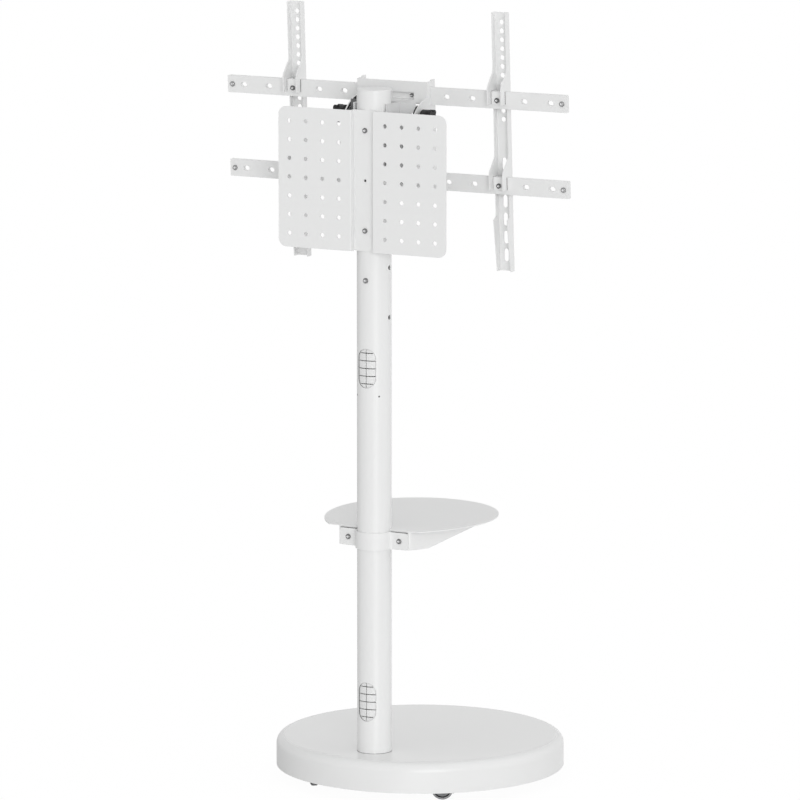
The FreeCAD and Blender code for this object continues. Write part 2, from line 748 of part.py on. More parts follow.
def yoke():
    # Drawn about the pole axis: web in front of the pole, cheeks at its ends, saddle flanges at the pole
    sheet_size = d.yoke_sheet
    web_back = d.pole_radius + d.seat_gap
    low = pivot_height - d.yoke_web_low
    tall = d.yoke_web_low + d.yoke_web_top
    inner = d.yoke_half - sheet_size
    web = box("yoke_web", (2 * inner, sheet_size, tall), (-inner, -web_back - sheet_size, low))
    pieces = [web]
    holes = []
    saddle = d.pole_radius + d.seat_gap
    knob_y, knob_z = knob_place()
    for index, side in enumerate((-1, 1)):
        face = inner if side > 0 else -d.yoke_half
        centre = (face, -d.pivot_reach, pivot_height)
        disc = cylinder("yoke_disc_%d" % index, d.yoke_radius, sheet_size, centre, "X")
        depth = d.yoke_back + d.yoke_front
        corner = (face, -d.pivot_reach - d.yoke_front, pivot_height - d.yoke_radius)
        limit = box("yoke_limit_%d" % index, (sheet_size, depth, 2 * d.yoke_radius), corner)
        pieces.append(common("yoke_cheek_%d" % index, [disc, limit]))
        flange = saddle if side > 0 else -saddle - sheet_size
        length = d.saddle_back + web_back
        pieces.append(box("yoke_flange_%d" % index, (sheet_size, length, tall), (flange, -web_back, low)))
        holes.append(cylinder("yoke_pivot_%d" % index, d.pivot_radius, sheet_size, centre, "X"))
        stud = (face, knob_y, knob_z)
        holes.append(cylinder("yoke_stud_%d" % index, d.stud_radius + d.run_gap, sheet_size, stud, "X"))
        window_x = inner - d.window_width if side > 0 else -inner
        window_corner = (window_x, -web_back - sheet_size, knob_z - d.window_height / 2)
        window_size = (d.window_width, sheet_size, d.window_height)
        holes.append(box("yoke_window_%d" % index, window_size, window_corner))
    reach = saddle + sheet_size
    for index in range(2):
        height = pivot_height + (index - 0.5) * d.pole_step
        start = (-reach, 0, height)
        holes.append(cylinder("yoke_cross_%d" % index, d.cross_hole_radius, 2 * reach, start, "X"))
    at_pole(keep(cut("yoke", fuse("yoke_welded", pieces), holes)))


def knob_place():
    # The knob studs stay with the yoke; their rest place in the tilted frame, turned upright
    back = d.knob_back * cosine(d.head_tilt) + d.knob_rise * sine(d.head_tilt)
    rise = d.knob_rise * cosine(d.head_tilt) - d.knob_back * sine(d.head_tilt)
    return back - d.pivot_reach, pivot_height + rise


def yoke_bolts():
    bolts = []
    nuts = []
    reach = d.pole_radius + d.seat_gap + d.yoke_sheet
    for index in range(2):
        height = pivot_height + (index - 0.5) * d.pole_step
        grip = 2 * reach + d.bolt_head_height + d.seat_gap
        seat = (-reach, pole_offset, height)
        head = (d.bolt_head_radius, d.bolt_head_height)
        bolts.append(screw("yoke_bolt_%d" % index, d.bolt_radius, head[0], head[1], grip, seat, "X", 1))
        start = (reach, pole_offset, height)
        blank = hexagon("yoke_nut_blank_%d" % index, d.bolt_head_radius, d.bolt_head_height, start, "X")
        hole = cylinder("yoke_nut_hole_%d" % index, d.bolt_radius, d.bolt_head_height, start, "X")
        nuts.append(cut("yoke_nut_%d" % index, blank, [hole]))
    keep(group("yoke_bolts", bolts))
    keep(group("yoke_nuts", nuts))


def tilt_frame():
    # Drawn about the tilt axis: side plates with round ears, an upper and a lower web with lips
    face = d.frame_sheet
    half = frame_half
    front = d.frame_web_front + d.frame_depth
    inner = half - face
    pieces = []
    holes = []
    for index, side in enumerate((-1, 1)):
        x = inner if side > 0 else -half
        corner = (x, -front, -d.frame_half_height)
        plate = box("frame_side_%d" % index, (face, d.frame_depth, 2 * d.frame_half_height), corner)
        disc = cylinder("frame_disc_%d" % index, d.ear_radius, face, (x, -d.ear_front, 0), "X")
        limit_size = (face, front + d.ear_radius, 2 * d.ear_radius)
        limit = box("frame_limit_%d" % index, limit_size, (x, -front, -d.ear_radius))
        ear = common("frame_ear_%d" % index, [disc, limit])
        tab_corner = (x, -front, d.frame_half_height)
        tab = box("frame_tab_%d" % index, (face, d.frame_tab_depth, d.frame_tab_height), tab_corner)
        pieces += [plate, ear, tab]
        holes.append(cylinder("frame_pivot_%d" % index, d.pivot_radius + d.run_gap, face, (x, 0, 0), "X"))
        holes += curved_slot(index, x)
    for index, side in enumerate((-1, 1)):
        outer = side * d.frame_half_height
        edge = side * (d.frame_half_height - d.frame_web_height)
        low = edge if side > 0 else outer
        web_corner = (-half, -d.frame_web_front - face, low)
        pieces.append(box("frame_web_%d" % index, (2 * half, face, d.frame_web_height), web_corner))
        lip_low = edge if side > 0 else edge - face
        lip_corner = (-half, -d.frame_web_front - d.frame_lip, lip_low)
        pieces.append(box("frame_lip_%d" % index, (2 * half, d.frame_lip, face), lip_corner))
        middle = side * d.rail_spread
        press = d.rail_front - d.frame_web_front - face
        swell = d.groove_half_height + face
        wide = d.groove_half_width + face
        swell_corner = (-wide, -d.rail_front, middle - swell)
        pieces.append(box("frame_swell_%d" % index, (2 * wide, press, 2 * swell), swell_corner))
        groove_size = (2 * d.groove_half_width, press, 2 * d.groove_half_height)
        groove_corner = (-d.groove_half_width, face - d.rail_front, middle - d.groove_half_height)
        holes.append(box("frame_groove_%d" % index, groove_size, groove_corner))
        play = d.side_gap
        tall = d.rail_height + 2 * play
        deep = d.rail_sheet + 2 * play
        window_corner = (-half, -d.rail_front - d.rail_sheet - play, middle - tall / 2)
        holes.append(box("frame_window_%d" % index, (2 * half, deep, tall), window_corner))
        for column, place in enumerate((-d.rail_bolt_x, d.rail_bolt_x)):
            name = "frame_bolt_hole_%d_%d" % (index, column)
            start = (place, -d.rail_front, middle)
            holes.append(cylinder(name, d.screw_radius + d.seat_gap, d.rail_front, start, "Y"))
    at_head(keep(cut("tilt_frame", fuse("frame_welded", pieces), holes)))


def curved_slot(index, x):
    # Curved slot for a knob stud: it spans the stud's way over the whole tilt range
    radius = math.hypot(number(d.knob_back), number(d.knob_rise))
    rest = math.degrees(math.atan2(number(d.knob_back), number(d.knob_rise)))
    wide = d.stud_radius + d.slot_play
    low = rest - number(d.tilt_limit) + number(d.head_tilt)
    high = rest + number(d.tilt_limit) + number(d.head_tilt)
    sector = doc.addObject("Part::Cylinder", "slot_sector_%d" % index)
    bind(sector, "Radius", radius + wide)
    bind(sector, "Height", d.frame_sheet)
    bind(sector, "Angle", 2 * d.tilt_limit)
    turn = TURNS["X"].multiply(FreeCAD.Rotation(ORIGIN_Z, 180 - high))
    sector.Placement = FreeCAD.Placement(FreeCAD.Vector(), turn)
    bind(sector, "Placement.Base.x", x)
    core = cylinder("slot_core_%d" % index, radius - wide, d.frame_sheet, (x, 0, 0), "X")
    tools = [cut("slot_band_%d" % index, sector, [core])]
    for end, turn in enumerate((low, high)):
        place = (x, radius * sine(turn), radius * cosine(turn))
        tools.append(cylinder("slot_end_%d_%d" % (index, end), wide, d.frame_sheet, place, "X"))
    return tools


def pivot_bolts():
    bolts = []
    nuts = []
    grip = frame_half + d.side_gap - d.yoke_half + d.yoke_sheet + d.bolt_head_height
    y = pole_offset - d.pivot_reach
    for index, side in enumerate((-1, 1)):
        seat = (side * (frame_half + d.side_gap), y, pivot_height)
        head = (d.pivot_head_radius, d.bolt_head_height)
        name = "pivot_bolt_%d" % index
        bolts.append(screw(name, d.pivot_radius, head[0], head[1], grip, seat, "X", -side))
        inner = d.yoke_half - d.yoke_sheet
        start = (inner - d.bolt_head_height if side > 0 else -inner, y, pivot_height)
        blank = hexagon("pivot_nut_blank_%d" % index, d.pivot_nut_radius, d.bolt_head_height, start, "X")
        hole = cylinder("pivot_nut_hole_%d" % index, d.pivot_radius, d.bolt_head_height, start, "X")
        nuts.append(cut("pivot_nut_%d" % index, blank, [hole]))
    keep(group("pivot_bolts", bolts))
    keep(group("pivot_nuts", nuts))


def knob(label, side, turn):
    # Drawn along +Z from the ear outwards, then laid along X; the turn shows the lobes as they stand
    body = new_body(label)
    stud_in = frame_half + d.side_gap - d.yoke_half + d.yoke_sheet + d.bolt_head_height
    hub_low = d.knob_collar_length
    grip_low = hub_low + d.knob_hub_length
    sketch = new_sketch(body, "XZ_Plane")
    section = [
        (0, -stud_in),
        (d.stud_radius, -stud_in),
        (d.stud_radius, 0),
        (d.knob_collar_radius, 0),
        (d.knob_collar_radius, hub_low),
        (d.knob_hub_radius, hub_low),
        (d.knob_hub_radius, grip_low),
        (d.knob_grip_radius, grip_low),
        (d.knob_grip_radius, grip_low + d.knob_grip_length),
        (0, grip_low + d.knob_grip_length),
    ]
    polygon(sketch, section)
    revolve(body, sketch)
    lobe = new_sketch(body, "XY_Plane", grip_low)
    circle(lobe, d.knob_grip_radius, 0, d.knob_lobe_radius)
    single = pad(body, lobe, d.knob_grip_length)
    lobes = body.newObject("PartDesign::PolarPattern", label + "_lobes")
    lobes.Originals = [single]
    lobes.Axis = (origin_part(body, "Z_Axis"), [""])
    lobes.Angle = 360
    bind(lobes, "Occurrences", d.knob_lobe_count)
    body.Tip = lobes
    tip = grip_low + d.knob_grip_length
    round_edges(body, d.knob_round, lambda edge: close(middle_of(edge).z, tip))
    spin = FreeCAD.Rotation(ORIGIN_Y, side * 90).multiply(FreeCAD.Rotation(ORIGIN_Z, turn))
    body.Placement = FreeCAD.Placement(FreeCAD.Vector(), spin)
    knob_y, knob_z = knob_place()
    move(body, (side * (frame_half + d.side_gap), pole_offset + knob_y, knob_z))


def knob_nuts():
    nuts = []
    inner = d.yoke_half - d.yoke_sheet
    knob_y, knob_z = knob_place()
    for index, side in enumerate((-1, 1)):
        start = (inner - d.bolt_head_height if side > 0 else -inner, pole_offset + knob_y, knob_z)
        blank = hexagon("knob_nut_blank_%d" % index, d.pivot_head_radius, d.bolt_head_height, start, "X")
        size = d.stud_radius + d.run_gap
        hole = cylinder("knob_nut_hole_%d" % index, size, d.bolt_head_height, start, "X")
        nuts.append(cut("knob_nut_%d" % index, blank, [hole]))
    keep(group("knob_nuts", nuts))


def rail(label, side):
    body = new_body(label)
    middle = side * d.rail_spread
    half = d.rail_length / 2
    sketch = new_sketch(body, "XZ_Plane", d.rail_front)
    rectangle(sketch, -half, half, middle - d.rail_height / 2, middle + d.rail_height / 2)
    pad(body, sketch, d.rail_sheet)
    round_edges(body, d.rail_corner, lambda edge: is_straight(edge, ORIGIN_Y))
    holes = new_sketch(body, "XZ_Plane")
    slot(holes, d.rail_first, middle, d.rail_hole_length, d.rail_hole_radius, level=True)
    right = pocket(body, holes, back=True)
    row_of(body, right, holes, "H_Axis", d.rail_pitch, d.rail_holes)
    other = new_sketch(body, "XZ_Plane")
    slot(other, -d.rail_first, middle, d.rail_hole_length, d.rail_hole_radius, level=True)
    left = pocket(body, other, back=True)
    row_of(body, left, other, "H_Axis", d.rail_pitch, d.rail_holes, back=True)
    small = new_sketch(body, "XZ_Plane")
    for place in (d.rail_bolt_x, half - d.stop_inset):
        circle(small, place, middle, d.screw_radius + d.seat_gap)
        circle(small, -place, middle, d.screw_radius + d.seat_gap)
    pocket(body, small, back=True)
    at_head(body)


def rail_fixings():
    # Bolts through the pressed grooves with nuts on the display side, and stop screws at the ends
    bolts = []
    nuts = []
    stops = []
    head = (d.screw_head_radius, d.screw_head_height)
    rail_face = d.rail_front + d.rail_sheet
    for row, level in enumerate((-1, 1)):
        height = level * d.rail_spread
        for column, side in enumerate((-1, 1)):
            tag = "%d_%d" % (row, column)
            seat = (side * d.rail_bolt_x, d.frame_sheet - d.rail_front, height)
            grip = d.frame_sheet + d.rail_sheet + d.bolt_head_height
            bolts.append(screw("rail_bolt_" + tag, d.screw_radius, head[0], head[1], grip, seat, "Y", -1))
            start = (side * d.rail_bolt_x, -rail_face - d.bolt_head_height, height)
            blank = hexagon("rail_nut_blank_" + tag, d.small_nut_radius, d.bolt_head_height, start, "Y")
            hole = cylinder("rail_nut_hole_" + tag, d.screw_radius, d.bolt_head_height, start, "Y")
            nuts.append(cut("rail_nut_" + tag, blank, [hole]))
            stop = (side * (d.rail_length / 2 - d.stop_inset), -d.rail_front, height)
            grip = d.rail_sheet + d.screw_grip
            stops.append(screw("stop_screw_" + tag, d.screw_radius, head[0], head[1], grip, stop, "Y", -1))
    at_head(keep(group("rail_bolts", bolts)))
    at_head(keep(group("rail_nuts", nuts)))
    at_head(keep(group("rail_stop_screws", stops)))


def bracket(label, side):
    # A channel that hooks over both rails; its web carries the holes and slots for the display
    body = new_body(label)
    shallow = d.arm_front - d.arm_shallow
    deep = d.arm_front - d.arm_deep
    tail = d.arm_front - d.arm_tail
    back = d.rail_front - d.hook_play
    front = d.rail_front + d.rail_sheet + d.side_gap
    rail_half = d.rail_height / 2
    step = d.flare_length
    profile = [(d.arm_front, d.arm_top), (shallow, d.arm_top)]
    for level in (d.rail_spread, -d.rail_spread):
        top = level + rail_half + d.side_gap
        hook = top - d.hook_drop
        pad_low = hook - d.side_gap
        profile += [
            (shallow, top + d.hook_shoulder + step),
            (deep, top + d.hook_shoulder),
            (deep, hook),
            (back, hook),
            (back, top),
            (front, top),
            (front, pad_low),
            (shallow, pad_low - (shallow - front)),
        ]
    profile += [
        (shallow, -d.tail_step),
        (tail, -d.tail_step - (shallow - tail) / 2),
        (shallow, -d.arm_bottom),
        (d.arm_front, -d.arm_bottom),
    ]
    sketch = new_sketch(body, "YZ_Plane")
    polygon(sketch, [(-depth, height) for depth, height in profile])
    pad(body, sketch, d.arm_width, middle=True)
    slopes = []
    for level in (d.rail_spread, -d.rail_spread):
        low = number(level + rail_half + d.side_gap + d.hook_shoulder)
        slopes += [low, low + number(step)]
    round_edges(body, d.flare_round, lambda edge: any(close(middle_of(edge).z, z) for z in slopes))
    hollow = new_sketch(body, "XZ_Plane", d.arm_front - d.arm_sheet)
    inner = d.arm_width / 2 - d.arm_sheet
    rectangle(hollow, -inner, inner, -d.arm_bottom - d.arm_sheet, d.arm_top + d.arm_sheet)
    pocket(body, hollow)
    holes = new_sketch(body, "XZ_Plane")
    circle(holes, 0, d.arm_hole_top, d.arm_hole_radius)
    top_hole = pocket(body, holes, back=True)
    row_of(body, top_hole, holes, "V_Axis", d.arm_hole_pitch, d.arm_hole_count, back=True)
    slots = new_sketch(body, "XZ_Plane")
    slot(slots, 0, -d.arm_slot_low, d.arm_slot_length, d.arm_hole_radius)
    low_slot = pocket(body, slots, back=True)
    row_of(body, low_slot, slots, "V_Axis", d.arm_slot_pitch, d.arm_slot_count)
    single = new_sketch(body, "XZ_Plane")
    slot(single, 0, -d.arm_slot_single, d.arm_slot_length, d.arm_hole_radius)
    pocket(body, single, back=True)
    at_head(body, side * d.arm_spread)


def lock_plates(label, side):
    # Plates between a bracket's hooks that bear on the rails' backs
    plates = []
    half = d.arm_width / 2 - d.arm_sheet - d.lock_play
    for row, level in enumerate((-1, 1)):
        top = level * d.rail_spread + d.rail_height / 2
        corner = (-half, -d.rail_front, top - d.hook_drop)
        blank = box("%s_blank_%d" % (label, row), (2 * half, d.lock_sheet, d.hook_drop), corner)
        start = (0, -d.rail_front, level * d.rail_spread)
        hole = cylinder("%s_hole_%d" % (label, row), d.screw_radius, d.lock_sheet, start, "Y")
        plates.append(cut("%s_%d" % (label, row), blank, [hole]))
    at_head(keep(group(label, plates)), side * d.arm_spread)


def lock_screws():
    screws = []
    head = (d.screw_head_radius, d.screw_head_height)
    for row, level in enumerate((-1, 1)):
        for column, side in enumerate((-1, 1)):
            seat = (side * d.arm_spread, d.lock_sheet - d.rail_front, level * d.rail_spread)
            grip = d.lock_sheet + d.rail_sheet + d.lock_grip
            name = "lock_screw_%d_%d" % (row, column)
            screws.append(screw(name, d.screw_radius, head[0], head[1], grip, seat, "Y", -1))
    at_head(keep(group("lock_screws", screws)))


def shelf_outline(name, low, height):
    # Upright block with the shelf's outline: round front, flatter shoulders, straight back
    centre = -d.shelf_centre
    offset = d.shelf_shoulder - d.shelf_radius
    front = cylinder(name + "_front", d.shelf_radius, height, (0, centre, low))
    arcs = []
    for index, side in enumerate((-1, 1)):
        place = (side * offset, centre, low)
        arcs.append(cylinder("%s_shoulder_%d" % (name, index), d.shelf_shoulder, height, place))
    wide = d.shelf_radius
    length = d.shelf_centre + d.shelf_back
    back_limit = box(name + "_back", (2 * wide, length, height), (-wide, centre, low))
    shoulders = common(name + "_shoulders", arcs + [back_limit])
    depth = d.shelf_centre + d.shelf_radius
    limit = box(name + "_limit", (2 * wide, depth + d.shelf_back, height), (-wide, -depth, low))
    return common(name, [fuse(name + "_whole", [front, shoulders]), limit])


def slope_block(name, drop):
    # Slab whose lower face is the shelf's rising top, lowered by the drop
    wide = 2 * d.shelf_radius
    depth = 2 * (d.shelf_centre + d.shelf_radius)
    slab = box(name, (wide, depth, d.flange_height), (0, 0, 0))
    turn = FreeCAD.Rotation(ORIGIN_Z, 180).multiply(FreeCAD.Rotation(ORIGIN_X, number(d.shelf_pitch)))
    slab.Placement = FreeCAD.Placement(FreeCAD.Vector(), turn)
    ahead = d.shelf_radius / 2
    return move(slab, (d.shelf_radius, ahead, d.shelf_top - drop - ahead * tangent(d.shelf_pitch)))


def shelf_plate():
    rise = (d.shelf_centre + d.shelf_radius) * tangent(d.shelf_pitch)
    block = shelf_outline("shelf_outline", d.shelf_top - 2 * d.shelf_sheet, rise + 3 * d.shelf_sheet)
    below = d.shelf_sheet + d.flange_height / cosine(d.shelf_pitch)
    plate = cut("shelf_plate", block, [slope_block("shelf_above", 0), slope_block("shelf_below", below)])
    doc.recompute()
    edges = []
    for index, edge in enumerate(plate.Shape.Edges, start=1):
        if is_straight(edge, ORIGIN_Z) and close(middle_of(edge).y, d.shelf_back):
            edges.append((index, number(d.shelf_corner), number(d.shelf_corner)))
    rounded = doc.addObject("Part::Fillet", "shelf_rounded")
    rounded.Base = plate
    rounded.Edges = edges
    return rounded


def is_bend_at(edge, x, y):
    point = middle_of(edge)
    return is_straight(edge, ORIGIN_Z) and close(abs(point.x), x) and close(point.y, y)


def shelf_bracket():
    # Bent strip under the plate: flange at the pole, a gusset splayed forwards at each end
    body = doc.addObject("PartDesign::Body", "shelf_bracket")
    thick = d.shelf_sheet
    ahead = d.gusset_length * cosine(d.gusset_splay)
    aside = d.flange_half + d.gusset_length * sine(d.gusset_splay)
    inner = d.flange_half - thick * (1 - sine(d.gusset_splay)) / cosine(d.gusset_splay)
    right = [
        (d.flange_half, 0),
        (aside, -ahead),
        (aside - thick * cosine(d.gusset_splay), -ahead - thick * sine(d.gusset_splay)),
        (inner, -thick),
    ]
    sketch = new_sketch(body, "XY_Plane", flange_low)
    polygon(sketch, right + [(-x, y) for x, y in reversed(right)])
    pad(body, sketch, 2 * d.flange_height)
    round_edges(body, d.gusset_bend, lambda edge: is_bend_at(edge, d.flange_half, 0))
    round_edges(body, d.gusset_bend - thick, lambda edge: is_bend_at(edge, inner, -thick))
    lower_edge = new_sketch(body, "YZ_Plane")
    wide = 2 * aside
    under = d.shelf_top - thick
    far = ahead + thick
    waste = [
        (-d.gusset_level, flange_low),
        (-d.gusset_end, under + d.gusset_end * tangent(d.shelf_pitch)),
        (-far, under + far * tangent(d.shelf_pitch)),
        (-far, flange_low - thick),
        (-d.gusset_level, flange_low - thick),
    ]
    polygon(lower_edge, waste)
    pocket(body, lower_edge, 2 * wide, middle=True)
    joint = new_sketch(body, "XZ_Plane", -thick)
    reach = d.flange_half - d.gusset_bend
    rectangle(joint, -reach, reach, flange_top, flange_top + 2 * d.flange_height)
    pocket(body, joint, 2 * thick, middle=True)
    return body


def shelf():
    bracket_blank = cut("shelf_gussets", shelf_bracket(), [slope_block("shelf_under", d.shelf_sheet)])
    ring = cylinder("shelf_ring", bore + d.strap_sheet, d.flange_height, (0, 0, flange_low))
    half_corner = (-2 * bore, -2 * bore, flange_low)
    front_half = box("shelf_half", (4 * bore, 2 * bore, d.flange_height), half_corner)
    saddle = common("shelf_saddle", [ring, front_half])
    joined = fuse("shelf_joined", [shelf_plate(), bracket_blank, saddle])
    holes = [cylinder("shelf_bore", bore, 2 * d.flange_height, (0, 0, flange_low))]
    for index, side in enumerate((-1, 1)):
        start = (side * d.strap_screw_x, -d.shelf_sheet, strap_screw_z)
        size = d.screw_radius + d.seat_gap
        holes.append(cylinder("shelf_hole_%d" % index, size, d.shelf_sheet, start, "Y"))
    at_pole(keep(cut("shelf", joined, holes)))


def shelf_strap():
    # Half ring behind the pole with a flat ear on each side
    body = new_body("shelf_strap")
    gap = d.clamp_gap
    sketch = new_sketch(body, "XY_Plane", flange_low)
    rectangle(sketch, -d.strap_reach, d.strap_reach, gap, gap + d.strap_sheet)
    pad(body, sketch, d.flange_height)
    ring = new_sketch(body, "XY_Plane", flange_low)
    circle(ring, 0, 0, bore + d.strap_sheet)
    pad(body, ring, d.flange_height)
    hole = new_sketch(body, "XY_Plane", flange_low)
    circle(hole, 0, 0, bore)
    pocket(body, hole, back=True)
    front = new_sketch(body, "XY_Plane", flange_low)
    wide = d.strap_reach + d.strap_sheet
    rectangle(front, -wide, wide, -wide, gap)
    pocket(body, front, back=True)

    def is_ear_corner(edge):
        return is_straight(edge, ORIGIN_Y) and close(abs(middle_of(edge).x), d.strap_reach)

    def is_bend(edge):
        point = middle_of(edge)
        if not is_straight(edge, ORIGIN_Z) or not close(point.y, gap + d.strap_sheet):
            return False
        return abs(point.x) < number(d.strap_reach) / 2 + number(bore) / 2

    round_edges(body, d.strap_corner, is_ear_corner)
    round_edges(body, d.strap_bend, is_bend)
    holes = new_sketch(body, "XZ_Plane")
    for side in (-1, 1):
        circle(holes, side * d.strap_screw_x, strap_screw_z, d.screw_radius + d.seat_gap)
    pocket(body, holes)
    at_pole(body)


def shelf_fixings():
    screws = []
    nuts = []
    head = (d.screw_head_radius, d.screw_head_height)
    seat_y = d.clamp_gap + d.strap_sheet
    grip = seat_y + d.shelf_sheet + d.bolt_head_height
    for index, side in enumerate((-1, 1)):
        seat = (side * d.strap_screw_x, pole_offset + seat_y, strap_screw_z)
        name = "shelf_screw_%d" % index
        screws.append(screw(name, d.screw_radius, head[0], head[1], grip, seat, "Y", -1))
        start = (side * d.strap_screw_x, pole_offset - d.shelf_sheet - d.bolt_head_height, strap_screw_z)
        blank = hexagon("shelf_nut_blank_%d" % index, d.small_nut_radius, d.bolt_head_height, start, "Y")
        hole = cylinder("shelf_nut_hole_%d" % index, d.screw_radius, d.bolt_head_height, start, "Y")
        nuts.append(cut("shelf_nut_%d" % index, blank, [hole]))
    keep(group("shelf_screws", screws))
    keep(group("shelf_nuts", nuts))


def caster_stems():
    stems = []
    flange_low = weight_low - d.stem_flange
    for index, (x, y) in enumerate(caster_places(), start=1):
        pin_low = flange_low - d.stem_length
        pin_tall = d.stem_length + d.stem_flange + d.weight_thickness
        pin = cylinder("stem_pin_%d" % index, d.stem_radius, pin_tall, (x, y, pin_low))
        flange = cylinder("stem_flange_%d" % index, d.stem_flange_radius, d.stem_flange, (x, y, flange_low))
        stems.append(fuse("stem_%d" % index, [pin, flange]))
    keep(group("caster_stems", stems))


def caster(index, x, y, trail_turn):
    # Drawn about the swivel axis with the axle behind it along +X, then turned to its rest direction
    tag = "_%d" % index
    axle_z = d.wheel_radius
    well = d.wheel_radius + d.wheel_gap
    hood = well + d.hood_wall
    outer_face = d.caster_web_half + d.wheel_gap + d.wheel_width
    wide = outer_face + d.wheel_gap
    boss_top = weight_low - d.stem_flange - d.side_gap
    drum = cylinder("hood_drum" + tag, hood, 2 * wide, (d.caster_trail, -wide, axle_z), "Y")
    hood_low = axle_z - d.hood_cut
    room_corner = (d.caster_trail - hood, -wide, hood_low)
    room = box("hood_room" + tag, (2 * hood, 2 * wide, hood + d.hood_cut), room_corner)
    cover = common("hood" + tag, [drum, room])
    boss = cylinder("boss" + tag, d.boss_radius, boss_top - axle_z, (0, 0, axle_z))
    wells = []
    for row, side in enumerate((-1, 1)):
        start_y = d.caster_web_half if side > 0 else -wide
        size = wide - d.caster_web_half
        start = (d.caster_trail, start_y, axle_z)
        wells.append(cylinder("well%s_%d" % (tag, row), well, size, start, "Y"))
    axle_start = (d.caster_trail, -wide, axle_z)
    wells.append(cylinder("axle_hole" + tag, d.axle_radius, 2 * wide, axle_start, "Y"))
    socket_low = boss_top - d.stem_length
    socket_tall = d.stem_length + d.side_gap
    socket_start = (0, 0, socket_low)
    wells.append(cylinder("socket" + tag, d.stem_radius + d.run_gap, socket_tall, socket_start))
    body = cut("caster_body" + tag, fuse("caster_blank" + tag, [cover, boss]), wells)
    axle_size = 2 * outer_face
    axle = cylinder("caster_axle" + tag, d.axle_radius, axle_size, (d.caster_trail, -outer_face, axle_z), "Y")
    wheels = group("caster_wheels" + tag, [wheel(tag, side) for side in (-1, 1)])
    turn = FreeCAD.Rotation(ORIGIN_Z, trail_turn)
    for obj in (body, wheels):
        obj.Placement = FreeCAD.Placement(FreeCAD.Vector(), turn)
        move(keep(obj), (x, y, 0))
    holder = group("caster_pin" + tag, [axle])
    holder.Placement = FreeCAD.Placement(FreeCAD.Vector(), turn)
    move(keep(holder), (x, y, 0))


def wheel(tag, side):
    # One wheel of a pair, turned about its axle, with a ring pressed into its outer face
    body = doc.addObject("PartDesign::Body", "wheel%s_%s" % (tag, "a" if side < 0 else "b"))
    sketch = new_sketch(body, "XZ_Plane")
    low = d.caster_web_half + d.wheel_gap
    top = low + d.wheel_width
    hole = d.axle_radius + d.run_gap
    section = [
        (hole, low),
        (d.wheel_radius, low),
        (d.wheel_radius, top),
        (d.wheel_dish_outer, top),
        (d.wheel_dish_outer, top - d.wheel_dish),
        (d.wheel_dish_inner, top - d.wheel_dish),
        (d.wheel_dish_inner, top),
        (hole, top),
    ]
    polygon(sketch, section)
    revolve(body, sketch)
    round_edges(body, d.wheel_edge, lambda edge: ring_at(edge, d.wheel_radius, top))
    body.Placement = FreeCAD.Placement(FreeCAD.Vector(), FreeCAD.Rotation(ORIGIN_X, -90 * side))
    move(body, (d.caster_trail, 0, d.wheel_radius))
    return body


def check_and_export():
    doc.recompute()
    broken = [obj.Name for obj in doc.Objects if "Invalid" in obj.State or "Error" in obj.State]
    if broken:
        raise RuntimeError("failed: " + ", ".join(broken))
    for obj in parts:
        if obj.Shape.isNull() or not obj.Shape.isValid():
            raise RuntimeError("bad shape: " + obj.Label)
    os.makedirs("parts", exist_ok=True)
    for obj in parts:
        obj.Shape.exportStep("parts/%s.step" % obj.Label)
        print("%-22s %2d solids %12.1f mm3" % (obj.Label, len(obj.Shape.Solids), obj.Shape.Volume))


base_shell()
base_weight()
pole()
pole_cap()
pole_foot()
foot_bolts()
grommet("lower_grommet", d.grommet_low)
grommet("upper_grommet", d.grommet_high)
device_plate()
rear_screws()
yoke()
yoke_bolts()
tilt_frame()
pivot_bolts()
knob("left_knob", 1, 0)
knob("right_knob", -1, number(d.knob_turn))
knob_nuts()
rail("upper_rail", 1)
rail("lower_rail", -1)
rail_fixings()
for name, side in (("left", 1), ("right", -1)):
    bracket(name + "_bracket", side)
    lock_plates(name + "_lock_plates", side)
lock_screws()
shelf()
shelf_strap()
shelf_fixings()
caster_stems()
for index, (x, y) in enumerate(caster_places(), start=1):
    caster(index, x, y, CASTER_TRAILS[index - 1])
check_and_export()
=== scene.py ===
import bpy
import bmesh
import json
import math
from mathutils import Matrix, Vector


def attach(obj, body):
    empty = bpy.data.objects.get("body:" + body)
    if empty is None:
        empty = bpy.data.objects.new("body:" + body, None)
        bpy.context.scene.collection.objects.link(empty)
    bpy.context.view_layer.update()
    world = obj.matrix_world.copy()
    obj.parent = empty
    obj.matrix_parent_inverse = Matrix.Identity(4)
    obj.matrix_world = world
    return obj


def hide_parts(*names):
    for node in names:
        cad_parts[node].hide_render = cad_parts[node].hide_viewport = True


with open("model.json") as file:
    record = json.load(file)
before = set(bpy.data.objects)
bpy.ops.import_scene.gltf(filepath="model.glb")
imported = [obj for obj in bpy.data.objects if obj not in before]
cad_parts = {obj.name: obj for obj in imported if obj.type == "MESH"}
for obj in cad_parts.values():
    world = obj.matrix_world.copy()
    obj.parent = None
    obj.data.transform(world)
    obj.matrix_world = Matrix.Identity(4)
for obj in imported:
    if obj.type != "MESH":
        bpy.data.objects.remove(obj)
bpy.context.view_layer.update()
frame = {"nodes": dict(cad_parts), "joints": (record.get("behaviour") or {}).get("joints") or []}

nodes = frame["nodes"]
joints = {joint["name"]: joint for joint in frame["joints"]}
casters = range(1, 6)
plainWhite = (1, 1, 1, 1)
print("frame loaded:", len(nodes), "nodes")


